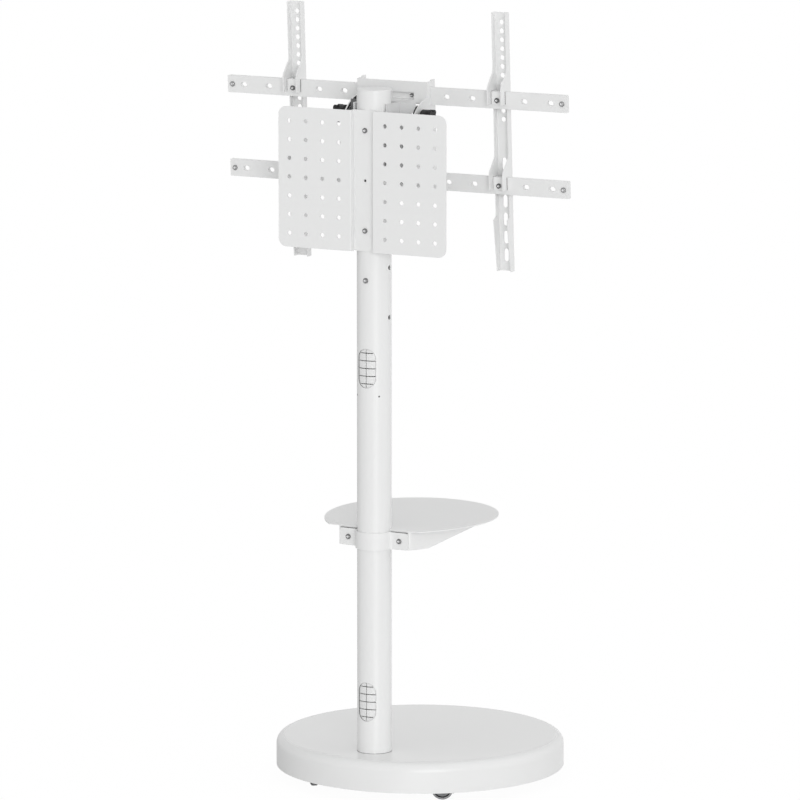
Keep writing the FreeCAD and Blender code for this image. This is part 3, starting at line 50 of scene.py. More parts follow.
# socket maths for the materials
class Wire:
    def __init__(self, tree, socket=None):
        self.tree = tree
        self.socket = socket

    def node(self, kind, settings=None, sockets=None, out=0):
        made = self.tree.nodes.new(kind)
        for key, value in (settings or {}).items():
            setattr(made, key, value)
        for key, value in (sockets or {}).items():
            self.feed(made.inputs[key], value)
        return Wire(self.tree, made.outputs[out])

    def feed(self, target, value):
        if isinstance(value, Wire):
            self.tree.links.new(value.socket, target)
        else:
            target.default_value = value

    def maths(self, operation, first, second):
        return self.node("ShaderNodeMath", {"operation": operation}, {0: first, 1: second})

    def __add__(self, other):
        return self.maths("ADD", self, other)

    def __radd__(self, other):
        return self.maths("ADD", other, self)

    def __sub__(self, other):
        return self.maths("SUBTRACT", self, other)

    def __rsub__(self, other):
        return self.maths("SUBTRACT", other, self)

    def __mul__(self, other):
        return self.maths("MULTIPLY", self, other)

    def __rmul__(self, other):
        return self.maths("MULTIPLY", other, self)

    def __gt__(self, other):
        return self.maths("GREATER_THAN", self, other)

    def __lt__(self, other):
        return self.maths("LESS_THAN", self, other)

    def about(self, middle, spread):
        # a noise, whose middle is 0.5, turned into a value about another middle
        return middle + (self - 0.5) * spread

    def mixColour(self, first, second):
        return self.node("ShaderNodeMix", {"data_type": "RGBA"}, {0: self, 6: first, 7: second}, out=2)

    def noise(self, coords, scale, detail=2.0, rough=0.5):
        values = {"Vector": coords, "Scale": scale, "Detail": detail, "Roughness": rough}
        return self.node("ShaderNodeTexNoise", {}, values)

    def bump(self, height, distance):
        values = {"Strength": 1.0, "Distance": distance, "Height": height}
        return self.node("ShaderNodeBump", {}, values)

    def objectPlace(self):
        return self.node("ShaderNodeTexCoord", out="Object")

    def objectFacing(self):
        return self.node("ShaderNodeTexCoord", out="Normal")


def newFinish(name):
    finish = bpy.data.materials.new(name)
    finish.use_nodes = True
    wire = Wire(finish.node_tree)
    shader = finish.node_tree.nodes["Principled BSDF"]
    return finish, wire, shader.inputs


def dress(finish, *names):
    for name in names:
        mesh = nodes[name].data
        mesh.materials.clear()
        mesh.materials.append(finish)


# white powder coat on the sheet metal: fine orange peel, barely uneven gloss
powderCoat = {
    "light": (0.816, 0.819, 0.817, 1), "shade": (0.806, 0.809, 0.807, 1),
    "gloss": 0.42, "glossSpread": 0.04, "specular": 0.4, "cloudScale": 7.0, "cloudDetail": 3.0,
    "peelScale": 900.0, "peelDetail": 2.0, "peelRough": 0.6, "peelDepth": 0.00003,
}


def makePowderCoat(name, look):
    finish, wire, sockets = newFinish(name)
    place = wire.objectPlace()
    cloud = wire.noise(place, look["cloudScale"], look["cloudDetail"])
    peel = wire.noise(place, look["peelScale"], look["peelDetail"], look["peelRough"])
    colour = cloud.mixColour(look["shade"], look["light"])
    # painted shade: the yoke's cheek is painted dark on one side where it faces backwards, standing in for
    # the shade between the ear and the pole
    if "cheekShade" in look:
        across = wire.node("ShaderNodeSeparateXYZ", {}, {0: place}, out="X")
        backward = wire.node("ShaderNodeSeparateXYZ", {}, {0: wire.objectFacing()}, out="Y")
        paintedCheekShade = (across > look["cheekShadeFrom"]) * (backward > look["cheekShadeFacing"])
        colour = paintedCheekShade.mixColour(colour, look["cheekShade"])
    rough = cloud.about(look["gloss"], look["glossSpread"])
    # the base's flat top is smoother than its wall
    if "topGloss" in look:
        facing = wire.node("ShaderNodeSeparateXYZ", {}, {0: wire.objectFacing()}, out="Z")
        low, high = look["topFacing"]
        level = wire.node("ShaderNodeMapRange", {}, {"Value": facing, "From Min": low, "From Max": high})
        rough = rough + level * (look["topGloss"] - look["gloss"])
    wire.feed(sockets["Base Color"], colour)
    wire.feed(sockets["Roughness"], rough)
    wire.feed(sockets["Normal"], wire.bump(peel, look["peelDepth"]))
    sockets["Specular IOR Level"].default_value = look["specular"]
    return finish


# painted light: the sheet parts take a slightly lighter copy of the white coat, standing in for more light
# on them
sheetLitCoat = {**powderCoat, "light": (0.826, 0.829, 0.827, 1), "shade": (0.816, 0.819, 0.817, 1)}
sheetLitWhite = makePowderCoat("sheetLitWhite", sheetLitCoat)
dress(sheetLitWhite, "device_plate", "tilt_frame", "upper_rail", "lower_rail", "shelf", "shelf_strap")
# painted light: the brackets and lock plates take a lighter copy still of the white coat, standing in for
# more light on their flanges
bracketLitCoat = {**powderCoat, "light": (0.842, 0.845, 0.843, 1), "shade": (0.830, 0.833, 0.831, 1)}
bracketLitWhite = makePowderCoat("bracketLitWhite", bracketLitCoat)
dress(bracketLitWhite, "left_bracket", "right_bracket", "left_lock_plates", "right_lock_plates")
poleWhite = makePowderCoat("poleWhite", {**powderCoat, "gloss": 0.15, "peelDepth": 0.000006})
dress(poleWhite, "pole")
baseCoat = {
    **powderCoat, "gloss": 0.3, "topGloss": 0.07, "topFacing": (0.97, 0.999),
    "peelDepth": 0.000002, "specular": 0.32,
}
baseWhite = makePowderCoat("baseWhite", baseCoat)
dress(baseWhite, "base_shell")
# painted shade: the yoke's coat is darkened to grey, standing in for the shade inside the tilt head
yokeGreyPaintedShade = {
    **powderCoat, "light": (0.70, 0.703, 0.705, 1), "shade": (0.68, 0.683, 0.685, 1),
    # painted shade: near black on one side of the yoke where it faces backwards
    "cheekShade": (0.16, 0.16, 0.162, 1), "cheekShadeFrom": 0.034, "cheekShadeFacing": -0.5,
}
dress(makePowderCoat("yokeGreyPaintedShade", yokeGreyPaintedShade), "yoke")
print("powder coats done")

# moulded white plastic: cap and grommets
mouldedWhite = {
    "colour": (0.80, 0.803, 0.80, 1), "shade": (0.77, 0.773, 0.772, 1), "gloss": 0.46, "glossSpread": 0.1,
    "cloudScale": 22.0, "grainScale": 1900.0, "grainDetail": 2.0, "grainRough": 0.6, "grainDepth": 0.00002,
}


def makeMouldedWhite(look):
    finish, wire, sockets = newFinish("mouldedWhite")
    place = wire.objectPlace()
    cloud = wire.noise(place, look["cloudScale"])
    grain = wire.noise(place, look["grainScale"], look["grainDetail"], look["grainRough"])
    wire.feed(sockets["Base Color"], cloud.mixColour(look["shade"], look["colour"]))
    wire.feed(sockets["Roughness"], grain.about(look["gloss"], look["glossSpread"]))
    wire.feed(sockets["Normal"], wire.bump(grain, look["grainDepth"]))
    return finish


dress(makeMouldedWhite(mouldedWhite), "pole_cap", "lower_grommet", "upper_grommet")

# zinc plated fasteners, and the darker steels of the socket screws: one dark steel at three levels, painted
# lighter or darker to stand in for how lit or shaded each set of screws is
plating = {
    "spangleScale": 420.0, "spangleDetail": 3.0, "scratchScale": 2600.0, "scratchDetail": 1.0,
    "scratchDepth": 0.00001, "glossSpread": 0.16,
}
zincPlateAndHighlight = {"light": (0.70, 0.705, 0.71, 1), "dark": (0.54, 0.542, 0.545, 1), "gloss": 0.28}
# painted light and shade: one dark steel, lighter or darker for each set of screws
screwSteels = {
    "darkSteelPaintedShade": {"light": (0.17, 0.17, 0.172, 1), "dark": (0.11, 0.11, 0.111, 1), "gloss": 0.2},
    "greySteelPaintedShade": {"light": (0.23, 0.23, 0.232, 1), "dark": (0.16, 0.16, 0.161, 1), "gloss": 0.22},
    "paleSteelPaintedLight": {"light": (0.34, 0.34, 0.343, 1), "dark": (0.25, 0.25, 0.252, 1), "gloss": 0.24},
}


def makeZinc(name, look):
    finish, wire, sockets = newFinish(name)
    place = wire.objectPlace()
    spangle = wire.noise(place, plating["spangleScale"], plating["spangleDetail"])
    scratch = wire.noise(place, plating["scratchScale"], plating["scratchDetail"])
    wire.feed(sockets["Base Color"], spangle.mixColour(look["dark"], look["light"]))
    wire.feed(sockets["Roughness"], spangle.about(look["gloss"], plating["glossSpread"]))
    wire.feed(sockets["Normal"], wire.bump(scratch, plating["scratchDepth"]))
    sockets["Metallic"].default_value = 1.0
    return finish


# the zinc plates the caster parts, nuts and bolts, and is also a painted highlight in the socket of each
# socket screw
zincWithHighlight = makeZinc("zincPlateAndHighlight", zincPlateAndHighlight)
steels = {name: makeZinc(name, look) for name, look in screwSteels.items()}
dress(zincWithHighlight, "caster_stems", *["caster_pin_%d" % i for i in casters])

# detailed screws, bolts and nuts in the places of the plain solids
restTilt = -3.0  # the head leans back at rest, in degrees
headSpot = Matrix.Translation(Vector(joints["head_tilt"]["pos_m"]))
headTurn = headSpot @ Matrix.Rotation(math.radians(restTilt), 4, "X")
upright = Matrix.Identity(4)
fastener = {
    "segments": 24, "sharpAngle": 32.0, "weldDigits": 5, "rowDigits": 3, "edge": 0.0002,
    "thread": 0.0008, "threadDepth": 0.00035, "threadLead": 0.25,
}
socketLook = {
    "seat": 0.97, "rimShare": 0.6, "rimLeast": 0.0003, "flat": 1.5, "domeSteps": 6,
    "mouth": 1.12, "depth": 0.588, "tip": 0.2, "tipDrop": 0.0003, "highlightRows": 4,
}
hexLook = {
    "seat": 0.97, "seatRise": 0.0003, "flatFrom": 0.0004, "flatTo": 0.0009, "bevel": 0.985, "top": 0.93,
}
nutLook = {"face": 0.95, "bevel": 0.0007, "lead": 0.0004}
screwLooks = {
    "button": {"head": 0.003, "radius": 0.0047, "shank": 0.0025, "dome": 0.9, "socket": 0.0019},
    "pan": {"head": 0.003, "radius": 0.0045, "shank": 0.0025, "dome": 0.45, "socket": 0.0017},
    "cap": {"head": 0.003, "radius": 0.0034, "shank": 0.0025, "dome": 0.3, "socket": 0.0015},
    "hexBolt": {"head": 0.005, "radius": 0.0065, "shank": 0.004},
    "pivotBolt": {"head": 0.005, "radius": 0.0075, "shank": 0.005},
}
screwSets = [
    ("rearScrews", "rear_screws", "stand", "button", (0, 1, 0), "greySteelPaintedShade"),
    ("stopScrews", "rail_stop_screws", "head", "button", (0, 1, 0), "paleSteelPaintedLight"),
    ("railBolts", "rail_bolts", "head", "cap", (0, 1, 0), "greySteelPaintedShade"),
    ("lockScrews", "lock_screws", "head", "pan", (0, 1, 0), "darkSteelPaintedShade"),
    ("shelfScrews", "shelf_screws", "shelf_unit", "button", (0, 1, 0), "greySteelPaintedShade"),
    ("yokeBolts", "yoke_bolts", "stand", "hexBolt", (-1, 0, 0), "greySteelPaintedShade"),
    ("footBolts", "foot_bolts", "stand", "hexBolt", (0, 0, -1), "greySteelPaintedShade"),
    ("pivotBolts", "pivot_bolts", "stand", "pivotBolt", "outwards", "greySteelPaintedShade"),
]
nutSets = [
    ("yokeNuts", "yoke_nuts", "stand", (1, 0, 0), 0.004),
    ("pivotNuts", "pivot_nuts", "stand", (1, 0, 0), 0.005),
    ("knobNuts", "knob_nuts", "stand", (1, 0, 0), 0.004),
    ("railNuts", "rail_nuts", "head", (0, 1, 0), 0.0025),
    ("shelfNuts", "shelf_nuts", "shelf_unit", (0, 1, 0), 0.0025),
]


def islandBoxes(name, turn):
    # corners of each separate solid of a node, seen in a frame that may be turned
    mesh = nodes[name].data
    back = turn.inverted()
    digits = fastener["weldDigits"]
    places = [tuple(round(c, digits) for c in vertex.co) for vertex in mesh.vertices]
    leader = {place: place for place in places}

    def top(place):
        while leader[place] != place:
            place = leader[place]
        return place

    for polygon in mesh.polygons:
        first = top(places[polygon.vertices[0]])
        for index in polygon.vertices[1:]:
            leader[top(places[index])] = first
    groups = {}
    for place in leader:
        groups.setdefault(top(place), []).append(back @ Vector(place))
    boxes = []
    for points in groups.values():
        low = Vector([min(p[axis] for p in points) for axis in range(3)])
        high = Vector([max(p[axis] for p in points) for axis in range(3)])
        boxes.append((low, high))
    return sorted(boxes, key=lambda box: (round(box[0].z, fastener["rowDigits"]), box[0].x))


def sideOf(outward):
    # upright for a screw along the rails, otherwise along the rails
    return Vector((1, 0, 0)) if outward.x == 0 else Vector((0, 0, 1))


def standOn(point, outward):
    # local +Z points outward
    side = sideOf(outward)
    turn = Matrix((side, outward.cross(side), outward)).transposed().to_4x4()
    return Matrix.Translation(point) @ turn


def ringReach(radius, sides, angle):
    if not sides:
        return radius
    half = math.pi / sides
    return radius * math.cos(half) / math.cos(angle % (2 * half) - half)


def turnRings(work, rings, place, loop=False, count=fastener["segments"], brightFrom=None):
    # rings of (radius, height, sides): sides 0 is round, 6 is a hexagon; open ends are capped;
    # faces from the ring brightFrom on take the piece's second finish
    angles = [2 * math.pi * step / count for step in range(count)]
    rows = []
    for radius, height, sides in rings:
        row = []
        for angle in angles:
            reach = ringReach(radius, sides, angle)
            spot = Vector((reach * math.cos(angle), reach * math.sin(angle), height))
            row.append(work.verts.new(place @ spot))
        rows.append(row)
    pairs = list(zip(rows, rows[1:]))
    if loop:
        pairs.append((rows[-1], rows[0]))
    for index, (lower, upper) in enumerate(pairs):
        for step in range(count):
            after = (step + 1) % count
            face = work.faces.new((lower[step], lower[after], upper[after], upper[step]))
            face.material_index = int(brightFrom is not None and index >= brightFrom)
    if not loop:
        work.faces.new(list(reversed(rows[0])))
        work.faces.new(rows[-1]).material_index = int(brightFrom is not None)


def threadRings(radius, low, high):
    # crests and roots up the shank, from its chamfered tip
    root = radius - fastener["threadDepth"]
    rings = [(root - fastener["threadDepth"], low, 0)]
    turns = int((high - low) / fastener["thread"])
    for turn in range(turns):
        base = low + fastener["thread"] * (turn + fastener["threadLead"])
        rings.append((root, base, 0))
        rings.append((radius, base + fastener["thread"] / 2, 0))
    rings.append((radius, high, 0))
    return rings


def socketHead(look):
    radius, head, socket = look["radius"], look["head"], look["socket"]
    edge, steps = fastener["edge"], socketLook["domeSteps"]
    rim = head * (1 - look["dome"]) * socketLook["rimShare"] + socketLook["rimLeast"]
    flat = socket * socketLook["flat"]
    rings = [(radius * socketLook["seat"], 0, 0), (radius, edge, 0), (radius, rim, 0)]
    for step in range(1, steps + 1):
        swing = math.pi / 2 * step / steps
        rings.append((flat + (radius - flat) * math.cos(swing), rim + (head - rim) * math.sin(swing), 0))
    floor = head * (1 - socketLook["depth"])
    rings += [(socket * socketLook["mouth"], head, 0), (socket, head - edge, 6), (socket, floor, 6)]
    rings.append((socket * socketLook["tip"], floor - socketLook["tipDrop"], 6))
    return rings


def hexHead(look):
    radius, head = look["radius"], look["head"]
    inner = radius * math.cos(math.pi / 6)
    return [(inner * hexLook["seat"], 0, 0), (inner, hexLook["seatRise"], 0),
            (radius, hexLook["flatFrom"], 6), (radius, head - hexLook["flatTo"], 6),
            (inner * hexLook["bevel"], head - fastener["edge"], 0), (inner * hexLook["top"], head, 0)]


def nutRings(radius, tall, bore):
    inner = radius * math.cos(math.pi / 6)
    face, bevel = inner * nutLook["face"], nutLook["bevel"]
    mouth, lead = bore + fastener["threadDepth"], nutLook["lead"]
    return [(mouth, 0, 0), (face, 0, 0), (radius, bevel, 6), (radius, tall - bevel, 6),
            (face, tall, 0), (mouth, tall, 0), (bore, tall - lead, 0), (bore, lead, 0)]


def keepPiece(work, name, node, body, slot, *finishes):
    bmesh.ops.recalc_face_normals(work, faces=work.faces)
    mesh = bpy.data.meshes.new(name)
    work.to_mesh(mesh)
    work.free()
    mesh.shade_smooth()
    mesh.set_sharp_from_angle(angle=math.radians(fastener["sharpAngle"]))
    for finish in finishes:
        mesh.materials.append(finish)
    piece = bpy.data.objects.new(name, mesh)
    bpy.context.scene.collection.objects.link(piece)
    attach(piece, body)
    if node:
        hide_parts(node)


def alongBox(low, high, outward):
    # middle of the box across the axis, and both ends along it
    middle = (low + high) / 2
    reach = abs((high - low).dot(outward)) / 2
    return middle - outward * reach, middle + outward * reach


for name, node, body, style, direction, steel in screwSets:
    look = screwLooks[style]
    turn = headTurn if body == "head" else upright
    work = bmesh.new()
    for low, high in islandBoxes(node, turn):
        if direction == "outwards":
            outward = Vector((math.copysign(1, low.x + high.x), 0, 0))
        else:
            outward = Vector(direction)
        tip, end = alongBox(low, high, outward)
        seat = end - outward * look["head"]
        length = (seat - tip).length
        rings = threadRings(look["shank"], -length, -fastener["edge"])
        rings += socketHead(look) if "socket" in look else hexHead(look)
        # painted highlight and shade: a socket screw's head takes the dark steel as a shaded rim, and its
        # socket rows take the bright zinc as a lit centre
        bright = len(rings) - socketLook["highlightRows"] if "socket" in look else 0
        turnRings(work, rings, turn @ standOn(seat, outward), brightFrom=bright)
    keepPiece(work, name, node, body, "zinc_steel", steels[steel], zincWithHighlight)

for name, node, body, direction, bore in nutSets:
    turn = headTurn if body == "head" else upright
    work = bmesh.new()
    for low, high in islandBoxes(node, turn):
        outward = Vector(direction)
        start, end = alongBox(low, high, outward)
        radius = (high - low).dot(sideOf(outward)) / 2
        rings = nutRings(radius, (end - start).length, bore)
        turnRings(work, rings, turn @ standOn(start, outward), loop=True)
    keepPiece(work, name, node, body, "zinc_steel", zincWithHighlight)
print("fasteners done")

# dark primer on the steel nobody sees: base weight and pole foot
darkPrimer = {
    "light": (0.075, 0.076, 0.08, 1), "dark": (0.045, 0.046, 0.048, 1), "gloss": 0.62, "glossSpread": 0.2,
    "mottleScale": 60.0, "mottleDetail": 4.0, "mottleDepth": 0.00005,
}


def makePrimer(look):
    finish, wire, sockets = newFinish("darkPrimer")
    place = wire.objectPlace()
    mottle = wire.noise(place, look["mottleScale"], look["mottleDetail"])
    wire.feed(sockets["Base Color"], mottle.mixColour(look["dark"], look["light"]))
    wire.feed(sockets["Roughness"], mottle.about(look["gloss"], look["glossSpread"]))
    wire.feed(sockets["Normal"], wire.bump(mottle, look["mottleDepth"]))
    return finish


dress(makePrimer(darkPrimer), "base_weight", "pole_foot")

# black moulded plastic: knobs and caster bodies; the same black also colours the sheets and strips that
# stand in for shade
blackPlasticAndShade = {
    "light": (0.022, 0.022, 0.023, 1), "dark": (0.013, 0.013, 0.014, 1), "gloss": 0.44, "glossSpread": 0.14,
    "specular": 0.22, "cloudScale": 80.0, "sparkScale": 1500.0, "sparkDepth": 0.00003,
}


def makeBlackPlasticAndShade(look):
    finish, wire, sockets = newFinish("blackPlasticAndShade")
    place = wire.objectPlace()
    spark = wire.noise(place, look["sparkScale"])
    cloud = wire.noise(place, look["cloudScale"])
    wire.feed(sockets["Base Color"], cloud.mixColour(look["dark"], look["light"]))
    wire.feed(sockets["Roughness"], cloud.about(look["gloss"], look["glossSpread"]))
    wire.feed(sockets["Normal"], wire.bump(spark, look["sparkDepth"]))
    sockets["Specular IOR Level"].default_value = look["specular"]
    return finish


black = makeBlackPlasticAndShade(blackPlasticAndShade)
dress(black, "left_knob", "right_knob", *["caster_body_%d" % i for i in casters])


def stripAround(work, rows, place, loop=False):
    # rows of corner points, joined into a closed bar or ring
    made = [[work.verts.new(place @ Vector(point)) for point in row] for row in rows]
    pairs = list(zip(made, made[1:]))
    if loop:
        pairs.append((made[-1], made[0]))
    for row, after in pairs:
        for corner in range(len(row)):
            beside = (corner + 1) % len(row)
            work.faces.new((row[corner], row[beside], after[beside], after[corner]))
    if not loop:
        work.faces.new(list(reversed(made[0])))
        work.faces.new(made[-1])


# painted shade: black sheets inside the tilt frame's ears, outside the reach of the yoke's cheeks, stand in
# for the shade there; the right one stands proud of its ear
earShadeSheet = {
    "face": 0.0661, "thick": 0.0011, "inner": 0.0596, "outer": {1: 0.072, -1: 0.0745}, "ahead": 0.016,
    "from": {1: -6.0, -1: 19.0}, "to": 46.0, "steps": 30, "bevel": 0.0004, "bevelFrom": 0.7,
}


def earShadeRows(look, side, level):
    rows = []
    start, outer, inner = look["from"][side], look["outer"][side], look["inner"]
    for step in range(look["steps"] + 1):
        swing = math.radians(start + (look["to"] - start) * step / look["steps"])
        lever = look["ahead"] * math.sin(swing)
        reach = math.sqrt(lever ** 2 + outer ** 2 - look["ahead"] ** 2) - lever
        row = []
        rim = ((reach, 0), (reach, look["bevelFrom"]), (reach - look["bevel"], 1))
        for radius, depth in ((inner, 0), *rim, (inner, 1)):
            across = side * (look["face"] - look["thick"] * depth)
            row.append((across, radius * math.sin(swing), level * radius * math.cos(swing)))
        rows.append(row)
    return rows


work = bmesh.new()
for side in (-1, 1):
    for level in (-1, 1):
        stripAround(work, earShadeRows(earShadeSheet, side, level), headTurn)
keepPiece(work, "earShadeSheets", None, "head", "black_plastic", black)

# painted shade: thin black strips between the bracket hooks and the rails' backs stand in for the contact
# shade there, in the head's own frame
hookShadeStrip = {
    "brackets": (-0.2, 0.2), "flanges": (-0.013, 0.013), "half": 0.0013, "rail": -0.01875, "thick": 0.0009,
    "tops": (0.0887, -0.0587), "drop": 0.022, "taper": 0.001, "endShare": 0.7,
}


def hookShadeRows(look, middle, top):
    rows = []
    bottom, taper, end = top - look["drop"], look["taper"], look["endShare"]
    for height, share in ((bottom, end), (bottom + taper, 1), (top - taper, 1), (top, end)):
        reach = look["half"] * share
        back = look["rail"] + look["thick"] * share
        rows.append([(middle - reach, look["rail"], height), (middle + reach, look["rail"], height),
                     (middle + reach, back, height), (middle - reach, back, height)])
    return rows


work = bmesh.new()
for bracket in hookShadeStrip["brackets"]:
    for flange in hookShadeStrip["flanges"]:
        for top in hookShadeStrip["tops"]:
            stripAround(work, hookShadeRows(hookShadeStrip, bracket + flange, top), headTurn)
keepPiece(work, "hookShadeStrips", None, "head", "black_plastic", black)

# painted shade: black strips in the step between pole and insert stand in for the shade of the gap round the
# cable grommets
poleSpot = Vector((0, 0.164, 0))
grommetGapShade = {
    "heights": (0.1627, 0.745), "half": 0.01695, "straight": 0.017, "wide": 0.00012,
    "low": 0.02885, "high": 0.0299, "steps": 48,
}


def grommetShadeRows(look, height):
    rows = []
    for step in range(2 * look["steps"]):
        swing = math.pi * (step + 0.5) / look["steps"]
        lift = math.copysign(look["straight"], math.sin(swing))
        row = []
        for half, radius in ((0, "low"), (0, "high"), (1, "high"), (1, "low")):
            reach = look["half"] - look["wide"] * half
            across = reach * math.cos(swing)
            out = math.sqrt(look[radius] ** 2 - across ** 2)
            row.append((across, out, height + lift + reach * math.sin(swing)))
        rows.append(row)
    return rows


work = bmesh.new()
for height in grommetGapShade["heights"]:
    stripAround(work, grommetShadeRows(grommetGapShade, height), Matrix.Translation(poleSpot), loop=True)
keepPiece(work, "grommetGapShadeStrips", None, "stand", "black_plastic", black)

# painted shade: a thin black ring where the pole meets the base stands in for the shade of the gap there;
# two small pins below the upper grommet
poleGapShade = {
    "bottom": 0.07205, "segments": 96,
    "rings": ((0.03006, 0), (0.0304, 0), (0.03037, 0.0002), (0.0302, 0.00035), (0.03006, 0.00035)),
}
polePin = {
    "height": 0.697, "angles": (-45, 45), "pole": 0.03,
    "rings": ((0.0008, -0.003), (0.001, -0.0027), (0.001, -0.00006), (0.0015, -0.00004), (0.0014, 0.0001),
              (0.0009, 0.00016), (0.0004, 0.00018)),
}
work = bmesh.new()
rings = [(radius, poleGapShade["bottom"] + height, 0) for radius, height in poleGapShade["rings"]]
turnRings(work, rings, Matrix.Translation(poleSpot), loop=True, count=poleGapShade["segments"])
rings = [(radius, height, 0) for radius, height in polePin["rings"]]
for angle in polePin["angles"]:
    outward = Vector((math.sin(math.radians(angle)), math.cos(math.radians(angle)), 0))
    spot = poleSpot + outward * polePin["pole"] + Vector((0, 0, polePin["height"]))
    turn = outward.to_track_quat("Z", "Y").to_matrix().to_4x4()
    turnRings(work, rings, Matrix.Translation(spot) @ turn)
keepPiece(work, "poleGapShadeAndPins", None, "stand", "black_plastic", black)

# painted shade: black strips on the clamp strap's ears, under the shelf's back edge, stand in for the shadow
# under the shelf's overhang
shelfShadeStrip = {
    "steps": (0.0335, 0.034, 0.0655, 0.0662), "ends": (0.6, 1, 1, 0.6),
    "corners": ((0.1644, 0.45952), (0.1667, 0.45952), (0.1667, 0.45985),
                (0.1665, 0.46005), (0.1644, 0.46005)),
}
work = bmesh.new()
base = shelfShadeStrip["corners"][0][1]
for side in (-1, 1):
    rows = []
    for across, share in zip(shelfShadeStrip["steps"], shelfShadeStrip["ends"]):
        rows.append([(side * across, y, base + (z - base) * share) for y, z in shelfShadeStrip["corners"]])
    stripAround(work, rows, upright)
keepPiece(work, "shelfShadeStrips", None, "shelf_unit", "black_plastic", black)
print("black trim done")

# caster wheels: grey tread, black ring, grey hub, told apart by the distance from the axle
casterWheel = {
    "tread": (0.45, 0.45, 0.46, 1), "ring": (0.008, 0.008, 0.009, 1), "hub": (0.33, 0.33, 0.34, 1),
    "treadFrom": 0.0155, "ringFrom": 0.0135, "gloss": 0.5, "glossSpread": 0.2, "specular": 0.2,
    "scuffScale": 300.0, "scuffDetail": 3.0, "scuffDepth": 0.00004,
}


def makeWheel(name, look, centre, axle):
    finish, wire, sockets = newFinish(name)
    place = wire.objectPlace()
    arm = wire.node("ShaderNodeVectorMath", {"operation": "SUBTRACT"}, {0: place, 1: centre})
    lever = wire.node("ShaderNodeVectorMath", {"operation": "CROSS_PRODUCT"}, {0: arm, 1: axle})
    radius = wire.node("ShaderNodeVectorMath", {"operation": "LENGTH"}, {0: lever}, out="Value")
    scuff = wire.noise(place, look["scuffScale"], look["scuffDetail"])
    inner = (radius > look["ringFrom"]).mixColour(look["hub"], look["ring"])
    wire.feed(sockets["Base Color"], (radius > look["treadFrom"]).mixColour(inner, look["tread"]))
    wire.feed(sockets["Roughness"], scuff.about(look["gloss"], look["glossSpread"]))
    wire.feed(sockets["Normal"], wire.bump(scuff, look["scuffDepth"]))
    sockets["Specular IOR Level"].default_value = look["specular"]
    return finish


for i in casters:
    roll = joints["wheels_%d_roll" % i]
    dress(makeWheel("casterWheel%d" % i, casterWheel, roll["pos_m"], roll["axis"]), "caster_wheels_%d" % i)
print("materials done")

# studio: pale floor that reads white to the camera, soft light from the camera's side
studio = {
    "floorSize": 60.0, "floorColour": (0.86, 0.86, 0.86, 1), "floorGlow": 0.96, "floorWhite": 1.014,
    "ambient": 0.745, "dimAmbient": 0.32, "dimSoft": (0.35, 0.95),
    "keyPower": 1.04, "keyAngle": 26.0, "keyTurn": 8.0, "keyHeight": 9.0,
    "fillPower": 0.13, "fillAngle": 60.0, "fillTurn": 75.0, "fillHeight": 25.0,
    "flagHeading": (0.934, -0.359, 0), "flagSoft": (0.78, 0.88),
    "stripHeading": (-0.642, 0.767, 0), "stripSoft": (0.9455, 0.9925), "stripPower": 2.6,
}
photoCamera = {
    "place": (-5.1983, 9.4656, 2.4139), "target": (-0.0385, 0.1427, 0.6865),
    "lens": 282.99, "sensor": 36.0, "clipEnd": 200.0,
}


def makeFloor():
    mesh = bpy.data.meshes.new("floor")
    half = studio["floorSize"]
    corners = [(-half, -half, 0), (half, -half, 0), (half, half, 0), (-half, half, 0)]
    mesh.from_pydata(corners, [], [(0, 1, 2, 3)])
    floor = bpy.data.objects.new("floor", mesh)
    bpy.context.scene.collection.objects.link(floor)
    finish = bpy.data.materials.new("floorWhite")
    finish.use_nodes = True
    tree = finish.node_tree
    tree.nodes.remove(tree.nodes["Principled BSDF"])
    wire = Wire(tree)
    matt = wire.node("ShaderNodeBsdfDiffuse", {}, {"Color": studio["floorColour"]})
    plain = wire.node("ShaderNodeEmission", {}, {"Color": plainWhite, "Strength": studio["floorWhite"]})
    strip = wire.node("ShaderNodeEmission", {}, {"Color": plainWhite, "Strength": studio["stripPower"]})
    seen = wire.node("ShaderNodeLightPath", out="Is Camera Ray")
    mirrored = wire.node("ShaderNodeLightPath", out="Is Glossy Ray")
    through = wire.node("ShaderNodeLightPath", out="Is Transmission Ray")
    # reflections see a dark flag at the photo's left and a strip light beside the camera
    fromPole = {0: wire.objectPlace(), 1: poleSpot}
    around = wire.node("ShaderNodeVectorMath", {"operation": "SUBTRACT"}, fromPole)
    heading = wire.node("ShaderNodeVectorMath", {"operation": "NORMALIZE"}, {0: around})

    def sector(name):
        along = {0: heading, 1: studio[name + "Heading"]}
        share = wire.node("ShaderNodeVectorMath", {"operation": "DOT_PRODUCT"}, along, out="Value")
        low, high = studio[name + "Soft"]
        return wire.node("ShaderNodeMapRange", {}, {"Value": share, "From Min": low, "From Max": high})

    glow = wire.node("ShaderNodeMixShader", {}, {0: mirrored * sector("strip"), 1: plain, 2: strip})
    amount = (seen + mirrored * (1 - sector("flag")) + through) * studio["floorGlow"]
    mixed = wire.node("ShaderNodeMixShader", {}, {0: amount, 1: matt, 2: glow})
    wire.feed(tree.nodes["Material Output"].inputs["Surface"], mixed)
    mesh.materials.append(finish)


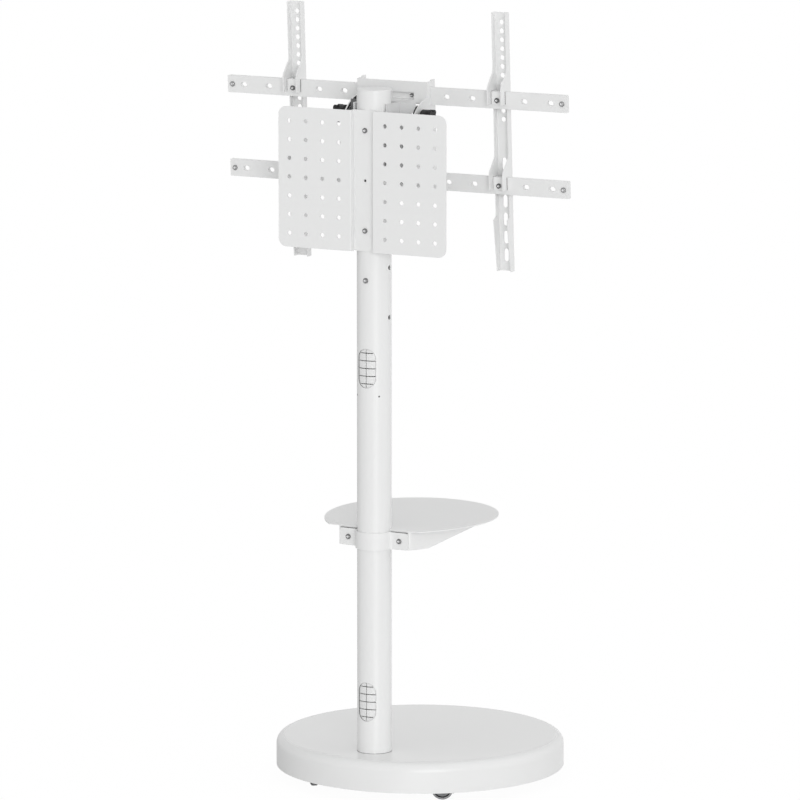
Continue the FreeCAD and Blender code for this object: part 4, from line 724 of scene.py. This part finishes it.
def makeWorld():
    world = bpy.data.worlds.new("studio")
    bpy.context.scene.world = world
    world.use_nodes = True
    tree = world.node_tree
    tree.nodes.remove(tree.nodes["Background"])
    wire = Wire(tree)
    seen = wire.node("ShaderNodeLightPath", out="Is Camera Ray")
    mirrored = wire.node("ShaderNodeLightPath", out="Is Glossy Ray")
    through = wire.node("ShaderNodeLightPath", out="Is Transmission Ray")
    # the surround is dimmer at the photo's left
    towards = {0: wire.node("ShaderNodeTexCoord", out="Generated"), 1: studio["flagHeading"]}
    share = wire.node("ShaderNodeVectorMath", {"operation": "DOT_PRODUCT"}, towards, out="Value")
    low, high = studio["dimSoft"]
    leftward = wire.node("ShaderNodeMapRange", {}, {"Value": share, "From Min": low, "From Max": high})
    even = wire.node("ShaderNodeBackground", {}, {"Color": plainWhite, "Strength": studio["ambient"]})
    dim = wire.node("ShaderNodeBackground", {}, {"Color": plainWhite, "Strength": studio["dimAmbient"]})
    soft = wire.node("ShaderNodeMixShader", {}, {0: leftward, 1: even, 2: dim})
    bright = wire.node("ShaderNodeBackground", {}, {"Color": plainWhite, "Strength": 1.0})
    mixed = wire.node("ShaderNodeMixShader", {}, {0: seen + mirrored + through, 1: soft, 2: bright})
    wire.feed(tree.nodes["World Output"].inputs["Surface"], mixed)


def aimSun(name, power, angle, turn, height):
    # turn is measured from the camera, to the photo's right
    lamp = bpy.data.lights.new(name, "SUN")
    lamp.energy = power
    lamp.angle = math.radians(angle)
    sun = bpy.data.objects.new(name, lamp)
    bpy.context.scene.collection.objects.link(sun)
    towards = Vector(photoCamera["place"]) - Vector(photoCamera["target"])
    heading = math.atan2(towards.y, towards.x) + math.radians(turn)
    rise = math.radians(height)
    source = Vector((math.cos(heading) * math.cos(rise), math.sin(heading) * math.cos(rise), math.sin(rise)))
    sun.rotation_mode = "QUATERNION"
    sun.rotation_quaternion = (-source).to_track_quat("-Z", "Y")


def makeCamera():
    data = bpy.data.cameras.new("photoCamera")
    data.sensor_fit = "HORIZONTAL"
    data.sensor_width = photoCamera["sensor"]
    data.lens = photoCamera["lens"]
    data.clip_end = photoCamera["clipEnd"]
    camera = bpy.data.objects.new("photoCamera", data)
    bpy.context.scene.collection.objects.link(camera)
    camera.location = photoCamera["place"]
    look = Vector(photoCamera["target"]) - Vector(photoCamera["place"])
    camera.rotation_mode = "QUATERNION"
    camera.rotation_quaternion = look.to_track_quat("-Z", "Y")
    bpy.context.scene.camera = camera


makeFloor()
makeWorld()
aimSun("keyLight", studio["keyPower"], studio["keyAngle"], studio["keyTurn"], studio["keyHeight"])
aimSun("fillLight", studio["fillPower"], studio["fillAngle"], studio["fillTurn"], studio["fillHeight"])
makeCamera()
bpy.context.scene.view_settings.view_transform = "Standard"
print("studio done")
